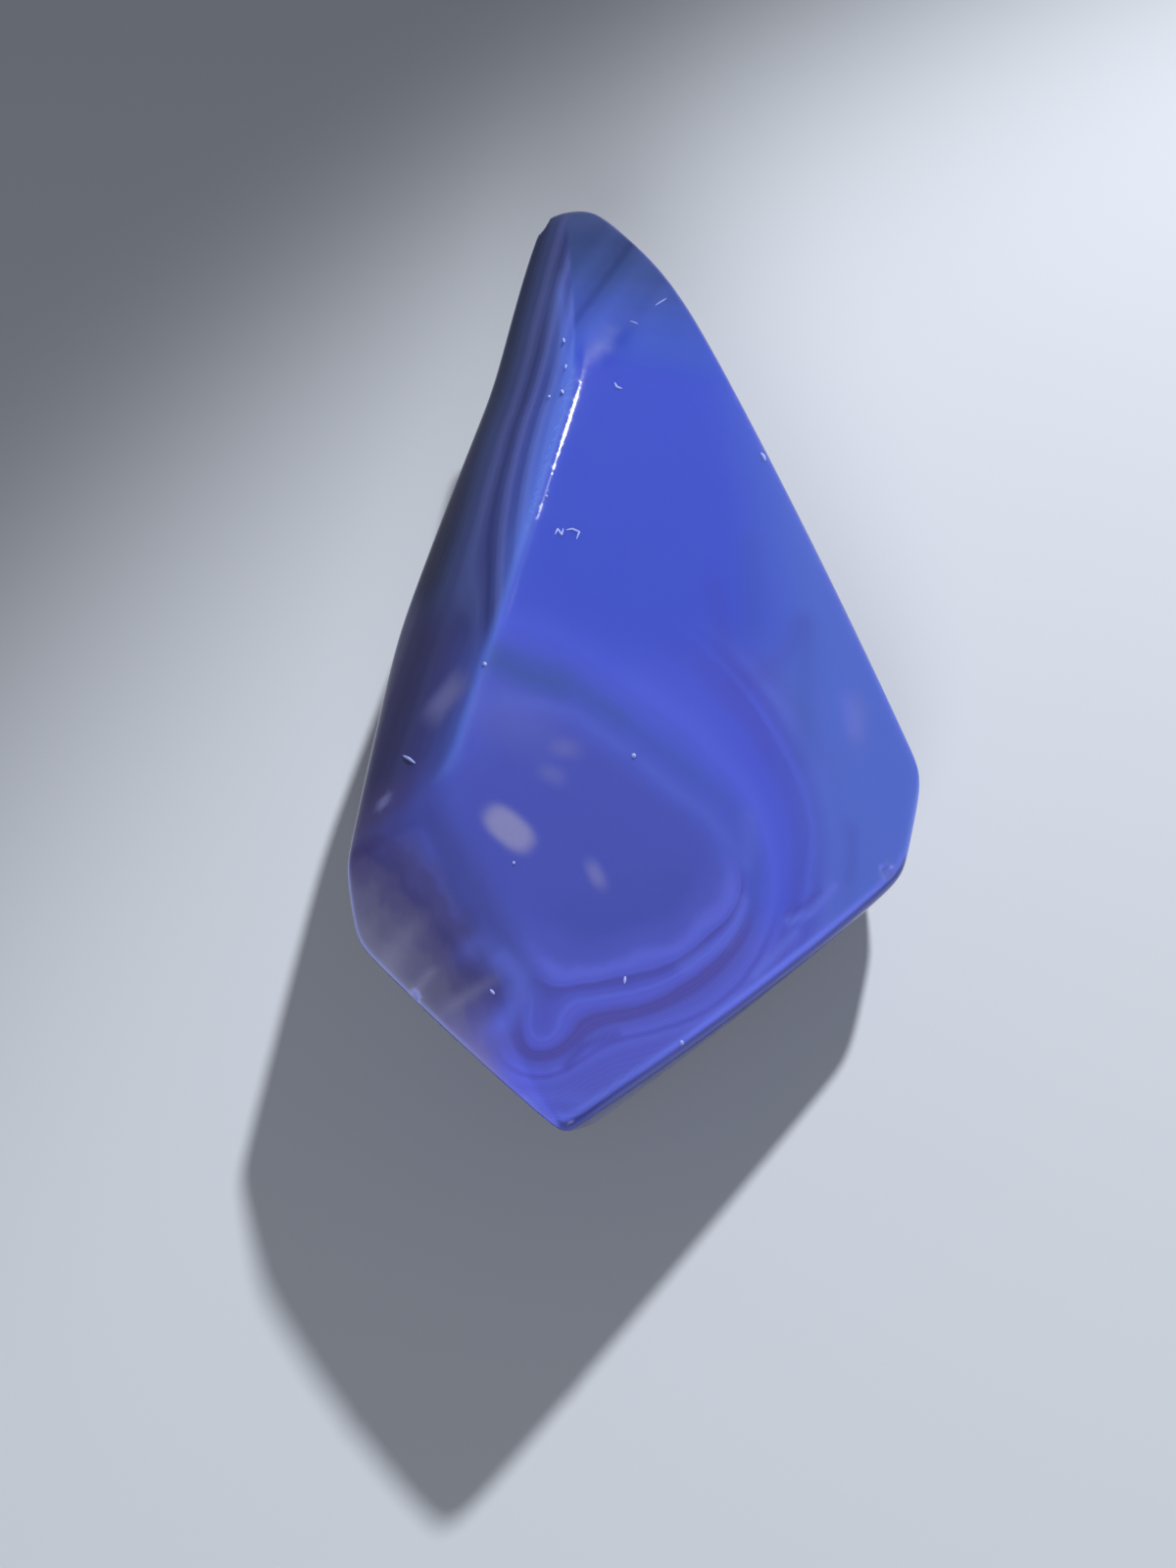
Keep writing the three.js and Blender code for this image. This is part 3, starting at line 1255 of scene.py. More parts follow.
@dataclass(frozen=True)
class Stone:
    """The stone: a fine mesh over its form, and the traits that its finish reads."""

    form: StoneForm = StoneForm()
    face_map: FaceMap = FaceMap()
    face: FaceZones = FaceZones()
    lower_left: LowerLeftZones = LowerLeftZones()
    flank: FlankZones = FlankZones()
    edges: EdgeZones = EdgeZones()
    light: LightShares = LightShares()
    spindle: Point = (14.0, 32.0, 9.0)
    rings: int = 318
    ring_points: int = 280
    trial_points: int = 960
    turn_length: float = 3.0
    spots: tuple[Spot, ...] = (
        Spot(at=(-7.2, -17.7, 17.1), heading=-34, long=1.5, short=0.95, soft=0.34, strength=0.97),
        Spot(
            at=(-2.58, -19.36, 15.08), heading=-60, long=0.75, short=0.42, soft=0.7, strength=0.48),
        Spot(at=(-4.2, -12.1, 16.7), heading=10, long=0.95, short=0.6, soft=0.8, strength=0.27),
        Spot(at=(-4.9, -13.9, 16.7), heading=-10, long=0.75, short=0.55, soft=0.8, strength=0.23),
        Spot(at=(-7.0, -11.0, 17.6), heading=-15, long=2.6, short=1.7, soft=0.9, strength=0.12),
        Spot(at=(12.8, -5.4, 9.4), heading=85, long=1.6, short=0.6, soft=0.9, strength=0.2),
    )
    warm_spots: tuple[Spot, ...] = (
        Spot(
            at=(-10.9, -8.5, 16.1), heading=80, long=1.6, short=1.7, soft=0.75, strength=0.9,
            thick=2.2),
        Spot(
            at=(-14.3, -13.8, 13.6), heading=20, long=0.6, short=0.5, soft=0.6, strength=1.0,
            thick=1.0),
    )
    # A patch of painted shade over the soft highlight near the top of the ridge; it joins the veil,
    # which is taken off the colour.
    tip_highlight_shade: tuple[Spot, ...] = (
        Spot(at=(-1.7, 17.9, 16.5), heading=58, long=2.2, short=1.0, soft=0.9, strength=1.4),
    )

    def direction(self, turns: Array, poles: Array) -> Array:
        """Unit vectors from the heart, as to points on a spindle.

        Args:
            turns: shares of a turn about the long axis.
            poles: angles from the tip's end of that axis.

        Returns:
            The vectors as rows of three.
        """
        turns, poles = np.broadcast_arrays(turns, poles)
        angle = turns * 2 * math.pi
        out = np.sin(poles)
        sphere = np.stack([-np.cos(angle) * out, np.cos(poles), np.sin(angle) * out], axis=-1)
        return unit(sphere * np.array(self.spindle))

    def shell(self) -> Shell:
        """The stone's surface.

        Rays from the heart are spread over rings about the long axis. On each ring the points
        are then drawn along it, so that they are even in the length travelled plus a little for
        every radian that the surface turns, which draws them towards the edges.

        Returns:
            The closed shell.
        """
        heart = np.array(self.form.heart)
        turns = np.linspace(0.0, 1.0, self.trial_points + 1)
        poles = np.linspace(0.0, math.pi, self.rings + 2)[1:-1]
        trial = self.form.meet(heart, self.direction(turns[None, :], poles[:, None]))
        normals = self.form.normals(trial, chipped=False)
        steps = np.linalg.norm(np.diff(trial, axis=1), axis=-1)
        steps += self.turn_length * np.linalg.norm(np.diff(normals, axis=1), axis=-1)
        travelled = np.concatenate([np.zeros((self.rings, 1)), np.cumsum(steps, axis=1)], axis=1)
        # Every ring's travel is a share from 0 to 1, and all rings are read in one go, two apart
        row = 2.0 * np.arange(self.rings)[:, None]
        places = (travelled / travelled[:, -1:] + row).ravel()
        goals = (np.arange(self.ring_points) / self.ring_points + row).ravel()
        axes = trial.reshape(-1, 3).T
        drawn = np.stack([np.interp(goals, places, axis) for axis in axes], axis=-1)
        rings = self.form.meet(heart, unit(drawn - heart))
        rings = rings.reshape(self.rings, self.ring_points, 3)
        ends = self.form.meet(heart, np.array([[0.0, 1.0, 0.0], [0.0, -1.0, 0.0]]))
        return Shell(rings, ends[0], ends[1])

    def survey(self, places: Array) -> Survey:
        """Measures surface points.

        Args:
            places: the points, in millimetres.

        Returns:
            Their measures.
        """
        form = self.form
        parts = form.parts(places)
        across, along = self.face_map.flatten(form, places)
        up_ridge = unit(np.subtract(form.ridge_high, form.ridge_low))
        lower_right = form.walls()[LOWER_RIGHT_WALL].height(places)
        return Survey(
            places=places,
            across=across,
            along=along,
            depth=np.maximum(-parts["main"], 0.0),
            steep=parts["left"] - parts["upper"],
            up_ridge=(places - np.array(form.ridge_low)) @ up_ridge,
            rim=parts["skirt"] - parts["crown"],
            below=-parts["crown"],
            lower_right=lower_right - parts["skirt"],
        )

    def traits(self, places: Array) -> dict[Trait, Array]:
        """What the finish needs to know at each surface point.

        Args:
            places: the surface points, in millimetres.

        Returns:
            One value for each point, by trait.
        """
        survey = self.survey(places)
        traits = (
            self.face.traits(survey) | self.lower_left.traits(survey)
            | self.flank.traits(survey) | self.edges.traits(self.form, survey)
        )
        traits[Trait.PALE] = self.spotted(places, self.spots)
        traits[Trait.WARM] = self.spotted(places, self.warm_spots)
        # The painted shade over the highlight near the tip joins the veil.
        traits[Trait.VEIL] = traits[Trait.VEIL] + self.spotted(places, self.tip_highlight_shade)
        traits[Trait.LIGHT] = self.light.at(self.form, places, traits[Trait.WALL])
        return traits

    def spotted(self, places: Array, spots: Sequence[Spot]) -> Array:
        """The cover of some spots together.

        Args:
            places: the surface points, in millimetres.
            spots: the spots.

        Returns:
            The strongest cover at each point.
        """
        axes = self.face_map.axes(self.form)
        covers = []
        for spot in spots:
            offset = places - np.array(spot.at)
            covers.append(spot.cover(*(offset @ axis for axis in axes)))
        return np.maximum.reduce(covers)

    def build(self, finish: bpy.types.Material) -> bpy.types.Object:
        """The stone as a piece, with its traits and exact normals on its points.

        Args:
            finish: its material.

        Returns:
            The piece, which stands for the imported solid.
        """
        shell = self.shell()
        piece = mesh_of("chalcedony_stone", [shell], finish)
        places = shell.points()
        traits = self.traits(places)
        for trait in Trait:
            attribute = piece.data.attributes.new(trait.value, "FLOAT", "POINT")
            attribute.data.foreach_set("value", traits[trait].astype(np.float32))
        piece.data.normals_split_custom_set_from_vertices(self.form.normals(places).tolist())
        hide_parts(STONE_NODE)
        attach(piece, BODY)
        return piece


def linear(seen: Rgb) -> tuple[float, float, float, float]:
    """A colour as seen on a screen, as linear light: a power of its values, straight at first.

    Args:
        seen: its red, green and blue as the screen's whole numbers.

    Returns:
        Its red, green and blue as light, and an alpha of one.
    """
    shares = [value / FULL_VALUE for value in seen]
    light = [
        share / CURVE_SLOPE if share <= CURVE_START
        else ((share + CURVE_SHIFT) / (1 + CURVE_SHIFT)) ** CURVE_POWER
        for share in shares
    ]
    return (*light, 1.0)


@dataclass(frozen=True)
class Ramp:
    """Colours along a measure, with an even change between neighbouring stops.

    Attributes:
        stops: pairs of the measure and the colour as seen.
    """

    stops: tuple[tuple[float, Rgb], ...]


@dataclass(frozen=True)
class Waver:
    """A soft uneven shift of a measure, from noise.

    Attributes:
        size: the size of the noise's features, in millimetres.
        detail: how many finer layers it has.
        swing: how far it shifts the measure in all.
    """

    size: float
    detail: float
    swing: float


class NodeSheet:
    """A new material's node tree, with short ways to add and join nodes."""

    def __init__(self, name: str) -> None:
        """Starts the material, with nothing but its shader.

        Args:
            name: the material's name.
        """
        self.material = bpy.data.materials.new(name)
        self.material.use_nodes = True
        self.tree = self.material.node_tree
        self.shader = self.tree.nodes["Principled BSDF"]

    def dress(self, values: dict[str, object]) -> None:
        """Gives the shader's own sockets their values or links."""
        for name, value in values.items():
            self.feed(self.shader.inputs[name], value)

    def add(self, kind: str, **settings: object) -> bpy.types.Node:
        """A new node.

        Args:
            kind: its kind, by Blender's name.
            settings: its settings.

        Returns:
            The node.
        """
        node = self.tree.nodes.new(kind)
        for name, value in settings.items():
            setattr(node, name, value)
        return node

    def feed(self, socket: bpy.types.NodeSocket, value: object) -> None:
        """Links a socket to another, or sets its own value.

        Args:
            socket: the socket to feed.
            value: another node's socket, or a value.
        """
        if isinstance(value, bpy.types.NodeSocket):
            self.tree.links.new(value, socket)
        else:
            socket.default_value = value

    def fill(self, node: bpy.types.Node, *values: object) -> bpy.types.NodeSocket:
        """Feeds a node's sockets in order.

        Args:
            node: the node.
            values: sockets or values, from its first socket on.

        Returns:
            Its first output.
        """
        for socket, value in zip(node.inputs, values):
            self.feed(socket, value)
        return node.outputs[0]

    def trait(self, trait: Trait) -> bpy.types.NodeSocket:
        """One of the mesh's traits."""
        return self.add("ShaderNodeAttribute", attribute_name=trait.value).outputs["Fac"]

    def math(self, operation: str, *values: object) -> bpy.types.NodeSocket:
        """A sum, product or other function of up to three numbers."""
        return self.fill(self.add("ShaderNodeMath", operation=operation), *values)

    def vector(self, operation: str, *values: object) -> bpy.types.NodeSocket:
        """A product, least value or other function of colours, part by part."""
        return self.fill(self.add("ShaderNodeVectorMath", operation=operation), *values)

    def span(
        self, value: object, source: Fade, target: Fade = Fade(0.0, 1.0), curve: str = "LINEAR"
    ) -> bpy.types.NodeSocket:
        """A measure carried over to another range, and held at its ends.

        Args:
            value: the measure.
            source: its values at the ends.
            target: what they become.
            curve: the kind of rise between them.

        Returns:
            The new measure's socket.
        """
        node = self.add("ShaderNodeMapRange", interpolation_type=curve)
        return self.fill(node, value, source.low, source.high, target.low, target.high)

    def rise(self, value: object, fade: Fade) -> bpy.types.NodeSocket:
        """Zero at a fade's low and one at its high, with a smooth rise between."""
        return self.span(value, fade, curve="SMOOTHSTEP")

    def mix(
        self, share: object, low: object, high: object, blend: str = "MIX"
    ) -> bpy.types.NodeSocket:
        """Two colours mixed by a share.

        Args:
            share: the second colour's share.
            low: the first colour.
            high: the second colour.
            blend: the way it is laid over the first.

        Returns:
            The mixed colour's socket.
        """
        node = self.add("ShaderNodeMix", data_type="RGBA", blend_type=blend)
        for index, value in ((MIX_SHARE, share), (MIX_LOW, low), (MIX_HIGH, high)):
            self.feed(node.inputs[index], value)
        return node.outputs[MIX_COLOUR]

    def ramp(self, value: object, ramp: Ramp) -> bpy.types.NodeSocket:
        """Colours along a measure.

        Args:
            value: the measure.
            ramp: the colours.

        Returns:
            The colour's socket.
        """
        ends = Fade(ramp.stops[0][0], ramp.stops[-1][0])
        node = self.add("ShaderNodeValToRGB")
        colours = node.color_ramp
        colours.interpolation = "EASE"
        while len(colours.elements) < len(ramp.stops):
            colours.elements.new(0.5)
        for element, (place, seen) in zip(colours.elements, ramp.stops):
            element.position = (place - ends.low) / (ends.high - ends.low)
            element.color = linear(seen)
        return self.fill(node, self.span(value, ends))

    def lay(self, body: object, colours: dict[Trait, Rgb]) -> bpy.types.NodeSocket:
        """Lays colours over another, each where its trait says, in order.

        Args:
            body: the colour below.
            colours: the colours by their traits.

        Returns:
            The colour's socket.
        """
        for trait, seen in colours.items():
            body = self.mix(self.trait(trait), body, linear(seen))
        return body

    def waver(self, waver: Waver) -> bpy.types.NodeSocket:
        """An uneven shift, from minus half its swing to half of it."""
        noise = self.noise(waver.size, waver.detail)
        return self.math("MULTIPLY_ADD", noise, waver.swing, -waver.swing / 2)

    def noise(self, size: float, detail: float = 2.0) -> bpy.types.NodeSocket:
        """Soft noise from Object coordinates.

        Args:
            size: the size of its features, in millimetres.
            detail: how many finer layers it has.

        Returns:
            Its value, near 0.5.
        """
        place = self.add("ShaderNodeTexCoord").outputs["Object"]
        mapping = self.add("ShaderNodeMapping")
        self.feed(mapping.inputs["Vector"], place)
        mapping.inputs["Scale"].default_value = [1 / (size * MM)] * 3
        node = self.add("ShaderNodeTexNoise")
        self.feed(node.inputs["Vector"], mapping.outputs["Vector"])
        node.inputs["Scale"].default_value = 1.0
        node.inputs["Detail"].default_value = detail
        return node.outputs["Fac"]


@dataclass(frozen=True)
class ChalcedonyFinish:
    """Polished translucent chalcedony: its colours by zone, and its gloss.

    Colours are those seen on the stone, with its light and shade in them. The material divides
    them by the share of light that the surface gets, so that the lit stone shows them; this paints
    light into faces that the lamps barely reach. It takes off the veil first: painted shade
    against the light that the polish throws back there as well.
    """

    crisp_bands: Ramp = Ramp((
        (0.0, (77, 86, 175)), (0.55, (75, 84, 173)), (0.78, (81, 90, 183)), (0.93, (93, 103, 206)),
        (1.05, (88, 96, 198)), (1.21, (80, 82, 170)), (1.37, (84, 90, 188)), (1.53, (92, 101, 205)),
        (1.72, (88, 94, 197)), (1.9, (83, 82, 167)), (2.2, (83, 82, 169)), (2.5, (88, 94, 190)),
        (3.0, (92, 100, 203)), (3.25, (85, 89, 188)), (3.5, (92, 100, 201)), (4.0, (88, 94, 192)),
        (5.5, (88, 96, 190)),
    ))
    soft_bands: Ramp = Ramp((
        (0.0, (76, 86, 176)), (0.7, (77, 87, 178)), (1.0, (80, 93, 191)), (1.5, (78, 91, 190)),
        (2.0, (76, 91, 187)), (2.6, (80, 94, 200)), (3.0, (83, 97, 209)), (3.5, (79, 91, 202)),
        (3.9, (78, 86, 190)), (4.1, (78, 85, 188)), (4.3, (83, 94, 202)), (4.55, (80, 88, 188)),
        (5.0, (90, 103, 198)), (5.45, (87, 99, 186)), (6.0, (86, 105, 194)),
    ))
    calm: Rgb = (69, 86, 196)
    corner: Rgb = (84, 106, 196)
    # Darker upwards: painted shade where the light falls off towards the tip.
    tip: Ramp = Ramp((
        (33.0, (71, 93, 196)), (35.0, (73, 96, 197)), (37.0, (71, 94, 188)), (38.5, (70, 92, 177)),
        (40.0, (67, 88, 163)), (41.5, (63, 83, 147)), (43.5, (61, 79, 136)), (45.0, (59, 75, 127)),
        (47.5, (65, 81, 130)),
    ))
    tip_fan: Ramp = Ramp((
        (-4.5, (246, 246, 246)), (-3.0, (248, 248, 248)), (-2.1, (232, 234, 238)),
        (-1.4, (245, 245, 245)), (-0.5, (255, 255, 255)), (0.3, (242, 242, 242)),
        (0.75, (208, 210, 216)), (1.25, (236, 236, 238)), (2.2, (255, 255, 255)),
        (3.0, (238, 240, 240)), (4.0, (246, 246, 246)),
    ))
    flank_stripes: Ramp = Ramp((
        (0.0, (90, 116, 208)), (0.9, (95, 119, 208)), (1.4, (85, 106, 197)), (2.0, (94, 112, 194)),
        (2.45, (83, 99, 176)), (2.85, (69, 82, 152)), (3.25, (71, 84, 155)), (3.7, (85, 97, 163)),
        (4.05, (79, 89, 150)), (4.4, (64, 73, 126)), (4.85, (56, 64, 114)), (5.3, (66, 74, 126)),
        (5.75, (74, 83, 135)), (6.1, (70, 79, 129)), (6.6, (58, 67, 112)), (7.1, (56, 66, 107)),
        (7.6, (50, 59, 93)), (8.2, (43, 50, 78)), (8.9, (36, 41, 67)), (10.0, (34, 37, 60)),
    ))
    flank_brown: Ramp = Ramp((
        (0.0, (82, 102, 185)), (1.2, (73, 85, 156)), (2.2, (68, 77, 138)), (3.4, (65, 70, 124)),
        (4.6, (61, 64, 113)), (5.6, (60, 63, 105)), (6.8, (52, 53, 90)), (8.2, (48, 48, 82)),
        (9.2, (50, 50, 82)), (10.2, (62, 64, 90)),
    ))
    flank_heel: Ramp = Ramp((
        (0.0, (76, 86, 160)), (2.2, (73, 79, 148)), (4.7, (69, 69, 123)), (6.9, (65, 63, 104)),
        (9.0, (63, 60, 95)),
    ))
    lower_left: Ramp = Ramp((
        (-1.0, (75, 84, 164)), (0.5, (73, 81, 158)), (1.0, (74, 78, 144)), (1.35, (70, 69, 124)),
        (1.7, (65, 63, 113)), (2.1, (76, 74, 114)), (2.5, (87, 86, 118)), (3.1, (99, 100, 126)),
    ))
    foot: Ramp = Ramp((
        (-1.0, (83, 91, 184)), (0.5, (80, 87, 178)), (1.2, (84, 88, 177)), (1.8, (87, 90, 173)),
        (2.2, (92, 93, 170)), (2.6, (103, 101, 162)), (3.1, (108, 106, 165)),
    ))
    pale: Rgb = (134, 135, 185)
    warm: Rgb = (100, 102, 150)
    chip: Rgb = (120, 127, 180)
    veil: Point = (0.020, 0.022, 0.020)
    wisp: Rgb = (150, 152, 180)
    glow: Rgb = (98, 112, 212)
    plum: Rgb = (74, 72, 158)
    moss: Rgb = (70, 90, 166)
    rim: Rgb = (108, 112, 168)
    ridge: Rgb = (98, 124, 214)
    # Painted shade of the lower right wall under the edge.
    strip: Rgb = (56, 62, 122)
    walls: Ramp = Ramp((
        (-0.5, (64, 72, 138)), (0.7, (56, 62, 118)), (1.3, (70, 78, 148)), (1.8, (56, 60, 112)),
        (2.2, (66, 74, 140)), (3.0, (78, 88, 164)), (3.7, (70, 76, 144)), (4.0, (58, 60, 110)),
        (4.5, (74, 80, 150)), (5.0, (86, 94, 164)), (5.5, (66, 70, 132)), (6.4, (74, 84, 158)),
        (7.2, (60, 64, 116)), (7.8, (72, 80, 150)), (8.6, (84, 90, 158)), (9.3, (62, 66, 120)),
        (10.4, (74, 84, 156)), (12.0, (62, 68, 126)),
    ))
    brightest: float = 0.97
    darkest: float = 0.004
    wander: Waver = Waver(2.5, 3.0, 0.24)
    clouds: Waver = Waver(1.6, 4.0, 0.8)
    waves: Waver = Waver(9.0, 0.6, 2.4)
    tip_start: Fade = Fade(32.0, 35.0)
    line_rate: float = 42.0
    line_depth: float = 0.03
    line_start: Fade = Fade(0.9, 1.1)
    subsurface: float = 0.5
    scatter_mm: Point = (3.0, 2.6, 2.4)
    index: float = 1.54
    gloss: float = 0.1
    polish: Fade = Fade(0.05, 0.16)
    polish_noise: tuple[float, float] = (6.0, 4.0)
    polish_range: Fade = Fade(0.35, 0.75)
    scratch_noise: tuple[float, float] = (0.45, 3.0)
    scratch_range: Fade = Fade(0.5, 0.6)
    worn_roughness: float = 0.45
    chip_wear: float = 0.4

    def banded(self, sheet: NodeSheet, wander: bpy.types.NodeSocket) -> bpy.types.NodeSocket:
        """The bands, soft or crisp, with fine lines where they are crisp.

        The lines are a sine of the band level, laid on as a small share of the colour.

        Args:
            sheet: the material's nodes.
            wander: the uneven shift of the bands.

        Returns:
            The colour's socket.
        """
        band = sheet.math("ADD", sheet.trait(Trait.BAND), wander)
        crisp = sheet.trait(Trait.CRISP)
        bands = sheet.mix(
            crisp, sheet.ramp(band, self.soft_bands), sheet.ramp(band, self.crisp_bands))
        lines = sheet.math("SINE", sheet.math("MULTIPLY", band, self.line_rate))
        lines = sheet.math("MULTIPLY", lines, sheet.math("MULTIPLY", crisp, self.line_depth))
        lines = sheet.math("MULTIPLY", lines, sheet.rise(band, self.line_start))
        return sheet.vector("MULTIPLY", bands, sheet.math("ADD", lines, 1.0))

    def tip_colour(self, sheet: NodeSheet, up_tip: bpy.types.NodeSocket) -> bpy.types.NodeSocket:
        """The tip: greyer upwards with painted shade, and darker along its fan of streaks."""
        streaks = sheet.ramp(sheet.trait(Trait.FAN), self.tip_fan)
        return sheet.mix(1.0, sheet.ramp(up_tip, self.tip), streaks, blend="MULTIPLY")

    def low_colour(self, sheet: NodeSheet) -> bpy.types.NodeSocket:
        """The cloudy lower left, lighter at the foot.

        Args:
            sheet: the material's nodes.

        Returns:
            The colour's socket.
        """
        clear = sheet.math("ADD", sheet.trait(Trait.CLEAR), sheet.waver(self.clouds))
        low, foot = sheet.ramp(clear, self.lower_left), sheet.ramp(clear, self.foot)
        return sheet.mix(sheet.trait(Trait.FOOT), low, foot)

    def flank_colour(self, sheet: NodeSheet, wander: bpy.types.NodeSocket) -> bpy.types.NodeSocket:
        """The flank: its stripes, and the browner low end with its heel.

        Args:
            sheet: the material's nodes.
            wander: the uneven shift of the stripes.

        Returns:
            The colour's socket.
        """
        depth = sheet.trait(Trait.DEPTH)
        stripe = sheet.math("ADD", sheet.trait(Trait.STRIPE), wander)
        stripes = sheet.ramp(stripe, self.flank_stripes)
        brown = sheet.ramp(sheet.math("ADD", depth, wander), self.flank_brown)
        brown = sheet.mix(sheet.trait(Trait.HEEL), brown, sheet.ramp(depth, self.flank_heel))
        return sheet.mix(sheet.trait(Trait.UNDER), stripes, brown)

    def colour(self, sheet: NodeSheet) -> bpy.types.NodeSocket:
        """The stone's colour, zone over zone, as what the surface has to be to be seen so.

        Args:
            sheet: the material's nodes.

        Returns:
            The colour's socket.
        """
        wander = sheet.waver(self.wander)
        body = self.banded(sheet, wander)
        body = sheet.lay(body, {Trait.CALM: self.calm, Trait.CORNER: self.corner})
        up_tip = sheet.math("ADD", sheet.trait(Trait.TIP), wander)
        body = sheet.mix(sheet.rise(up_tip, self.tip_start), body, self.tip_colour(sheet, up_tip))
        body = sheet.mix(sheet.trait(Trait.LOWER_LEFT), body, self.low_colour(sheet))
        body = sheet.lay(
            body, {Trait.MOSS: self.moss, Trait.PLUM: self.plum, Trait.GLOW: self.glow})
        body = sheet.mix(sheet.trait(Trait.FLANK), body, self.flank_colour(sheet, wander))
        # Painted light on the ridge and rim, painted shade under the lower right edge, and a
        # painted light line along that edge.
        body = sheet.lay(body, {
            Trait.RIDGE: self.ridge, Trait.RIM: self.rim,
            Trait.STRIP: self.strip, Trait.STRIP_LINE: self.glow,
        })
        layer = sheet.math("ADD", sheet.trait(Trait.LAYER), sheet.waver(self.waves))
        body = sheet.mix(sheet.trait(Trait.WALL), body, sheet.ramp(layer, self.walls))
        body = sheet.lay(body, {
            Trait.WARM: self.warm, Trait.PALE: self.pale,
            Trait.WISP: self.wisp, Trait.CHIP: self.chip,
        })
        # Painted shade: the veil darkens the colour where the polish reflects the floor, and over
        # the highlight near the tip.
        veil = sheet.vector("MULTIPLY", sheet.trait(Trait.VEIL), self.veil)
        body = sheet.vector("SUBTRACT", body, veil)
        body = sheet.vector("MAXIMUM", body, (self.darkest,) * 3)
        # Painted light: dividing by the share of light brightens the colour where the lamps barely
        # reach, so faces turned away from them show as if lit; the walls are divided by a constant
        # instead.
        lit = sheet.math("DIVIDE", 1.0, sheet.trait(Trait.LIGHT))
        body = sheet.vector("MULTIPLY", body, lit)
        return sheet.vector("MINIMUM", body, (self.brightest,) * 3)

    def roughness(self, sheet: NodeSheet) -> bpy.types.NodeSocket:
        """The polish, a little uneven, and duller where it is scratched, worn or chipped.

        Args:
            sheet: the material's nodes.

        Returns:
            The roughness's socket.
        """
        gloss = sheet.span(sheet.noise(*self.polish_noise), self.polish_range, self.polish)
        scratches = sheet.rise(sheet.noise(*self.scratch_noise), self.scratch_range)
        worn = sheet.math("MULTIPLY", sheet.trait(Trait.WORN), scratches)
        chipped = sheet.math("MULTIPLY", sheet.trait(Trait.CHIP), self.chip_wear)
        worn = sheet.math("MAXIMUM", worn, chipped)
        return sheet.math("MULTIPLY_ADD", worn, self.worn_roughness, gloss)

    def material(self) -> bpy.types.Material:
        """The finish as a material.

        Returns:
            The material.
        """
        sheet = NodeSheet("polished_chalcedony")
        sheet.dress({
            "Base Color": self.colour(sheet),
            "Roughness": self.roughness(sheet),
            "IOR": self.index,
            "Specular IOR Level": self.gloss,
            "Subsurface Weight": self.subsurface,
            "Subsurface Radius": self.scatter_mm,
            "Subsurface Scale": MM,
        })
        return sheet.material


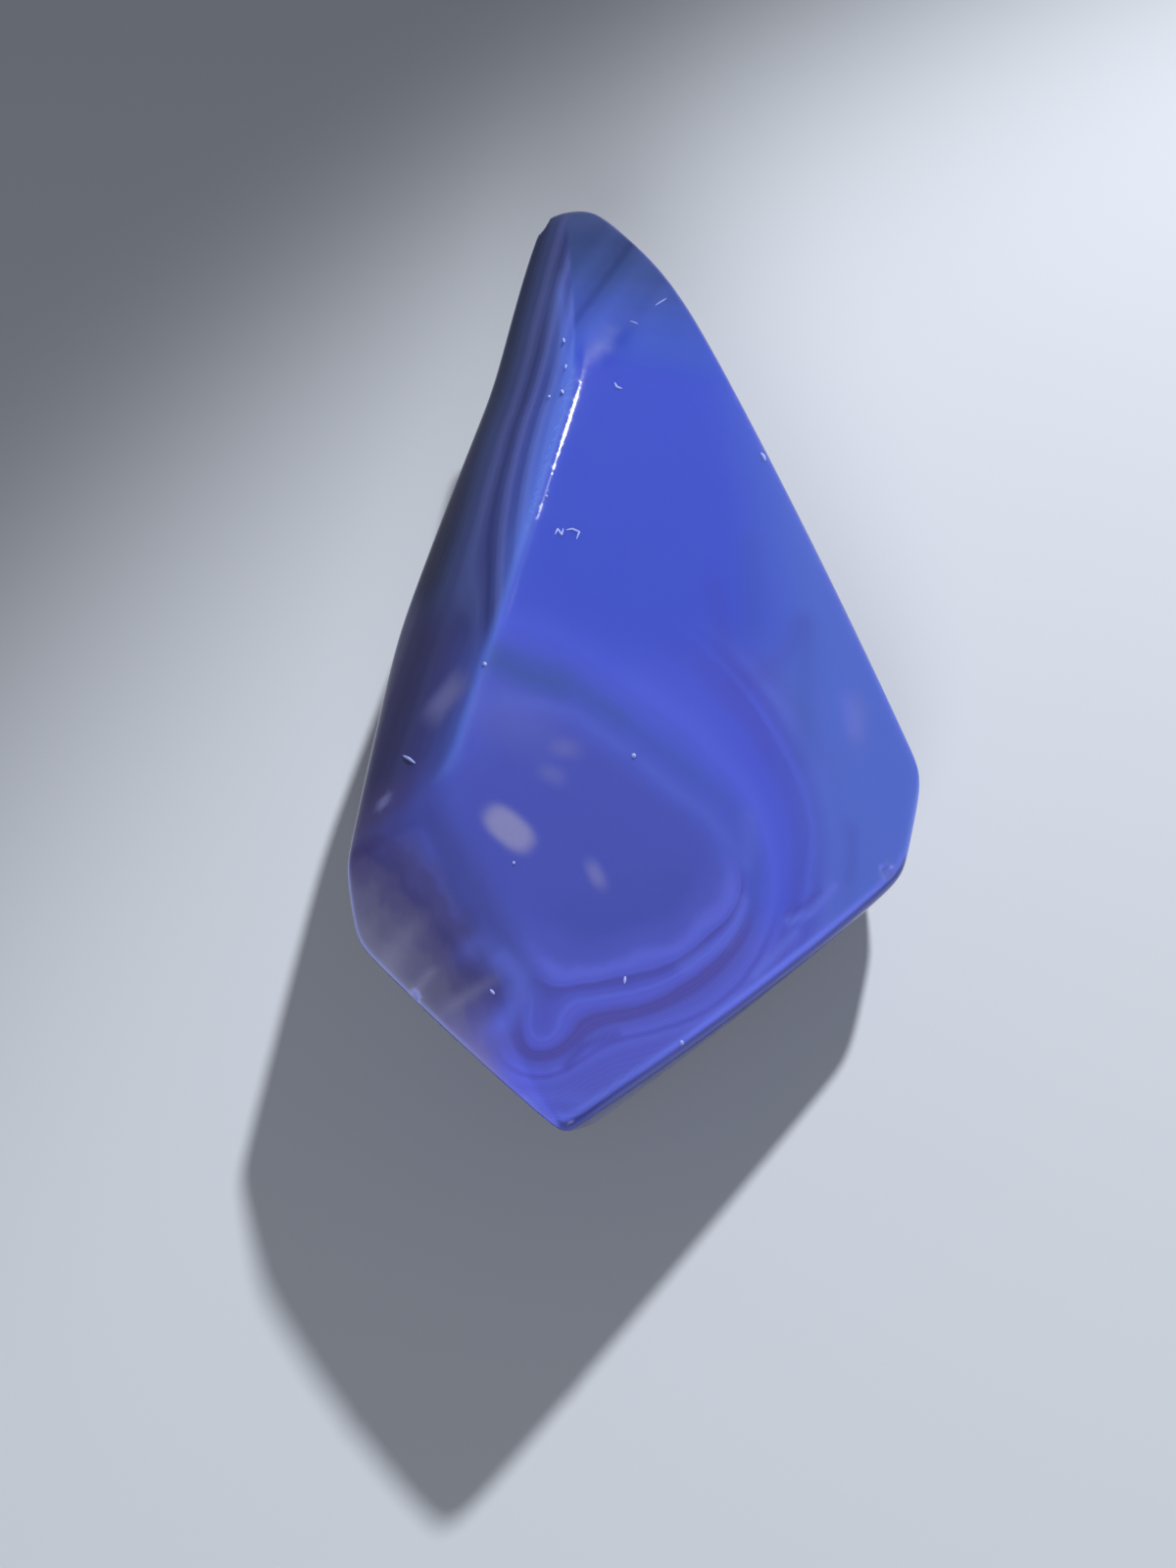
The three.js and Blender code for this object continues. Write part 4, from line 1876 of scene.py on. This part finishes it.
@dataclass(frozen=True)
class Studio:
    """The plain pale floor, the soft lights and the camera.

    Lengths are millimetres, angles degrees and powers watts.
    """

    camera_at: Point = (-3.0, -83.6, 122.9)
    looks_down: float = 57.0
    lens: float = 53.8
    sensor: float = 36.0
    floor_size: float = 1200.0
    floor_colour: tuple[float, float, float, float] = (0.40, 0.425, 0.47, 1.0)
    floor_roughness: float = 0.9
    key_distance: float = 450.0
    key_radius: float = 12.0
    key_power: float = 14.0
    key_aim: Point = (70.0, -75.0, 0.0)
    key_beam: float = 36.0
    key_fade: float = 0.5
    fill_distance: float = 500.0
    fill_size: float = 220.0
    fill_power: float = 1.3
    sky: tuple[float, float, float, float] = (0.80, 0.87, 1.0, 1.0)
    sky_strength: float = 0.15

    def build_floor(self) -> bpy.types.Object:
        """A flat pale sheet under the stone.

        Returns:
            The floor.
        """
        half = self.floor_size / 2 * MM
        corners = [(-half, -half, 0), (half, -half, 0), (half, half, 0), (-half, half, 0)]
        mesh = bpy.data.meshes.new("floor")
        mesh.from_pydata(corners, [], [(0, 1, 2, 3)])
        sheet = NodeSheet("pale_floor")
        sheet.dress({"Base Color": self.floor_colour, "Roughness": self.floor_roughness})
        mesh.materials.append(sheet.material)
        floor = show("floor", mesh)
        return floor

    def build_key(self) -> bpy.types.Object:
        """The main light, behind the stone to the right and above it, with a soft-edged beam.

        Returns:
            The light.
        """
        light = bpy.data.lights.new("key", "SPOT")
        light.shadow_soft_size = self.key_radius * MM
        light.spot_size = math.radians(self.key_beam)
        light.spot_blend = self.key_fade
        light.energy = self.key_power
        key = show("key", light)
        key.location = Vector(KEY_HEADING).normalized() * self.key_distance * MM
        aim = key.location - Vector(self.key_aim) * MM
        key.rotation_euler = aim.to_track_quat("Z", "Y").to_euler()
        return key

    def build_fill(self) -> bpy.types.Object:
        """A wide weak light before the stone, which keeps the near side from going dark.

        Returns:
            The light.
        """
        light = bpy.data.lights.new("fill", "AREA")
        light.shape = "DISK"
        light.size = self.fill_size * MM
        light.energy = self.fill_power
        fill = show("fill", light)
        fill.location = Vector(FILL_HEADING).normalized() * self.fill_distance * MM
        fill.rotation_euler = fill.location.to_track_quat("Z", "Y").to_euler()
        return fill

    def build_sky(self) -> bpy.types.World:
        """An even, slightly cool light from all round.

        Returns:
            The world that gives it.
        """
        world = bpy.data.worlds.new("studio")
        world.use_nodes = True
        background = world.node_tree.nodes["Background"]
        background.inputs["Color"].default_value = self.sky
        background.inputs["Strength"].default_value = self.sky_strength
        bpy.context.scene.world = world
        return world

    def build_camera(self) -> bpy.types.Object:
        """The camera, looking along the stone and down on it.

        Returns:
            The camera.
        """
        data = bpy.data.cameras.new("camera")
        data.lens = self.lens
        data.sensor_width = self.sensor
        data.clip_start = MM
        camera = show("camera", data)
        camera.location = Vector(self.camera_at) * MM
        camera.rotation_euler = (math.radians(90 - self.looks_down), 0.0, 0.0)
        bpy.context.scene.camera = camera
        return camera

    def build(self) -> None:
        """Sets up camera, floor and lights, and plain colours for the picture."""
        bpy.context.scene.view_settings.view_transform = "Standard"
        self.build_camera()
        self.build_floor()
        self.build_key()
        self.build_fill()
        self.build_sky()


def write_sizes() -> None:
    """Brings the scene's placements up to date."""
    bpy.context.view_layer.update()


def main() -> None:
    """Builds the studio and the stone, and reports each piece."""
    logging.basicConfig(level=logging.INFO, format="%(name)s: %(message)s")
    Studio().build()
    log.info("studio ready")
    piece = Stone().build(ChalcedonyFinish().material())
    lint = Dust().build(StoneForm(), LintFinish().material())
    for built in (piece, lint):
        mesh = built.data
        log.info("%s: %d points, %d faces", built.name, len(mesh.vertices), len(mesh.polygons))
    write_sizes()


if __name__ == "__main__":
    main()
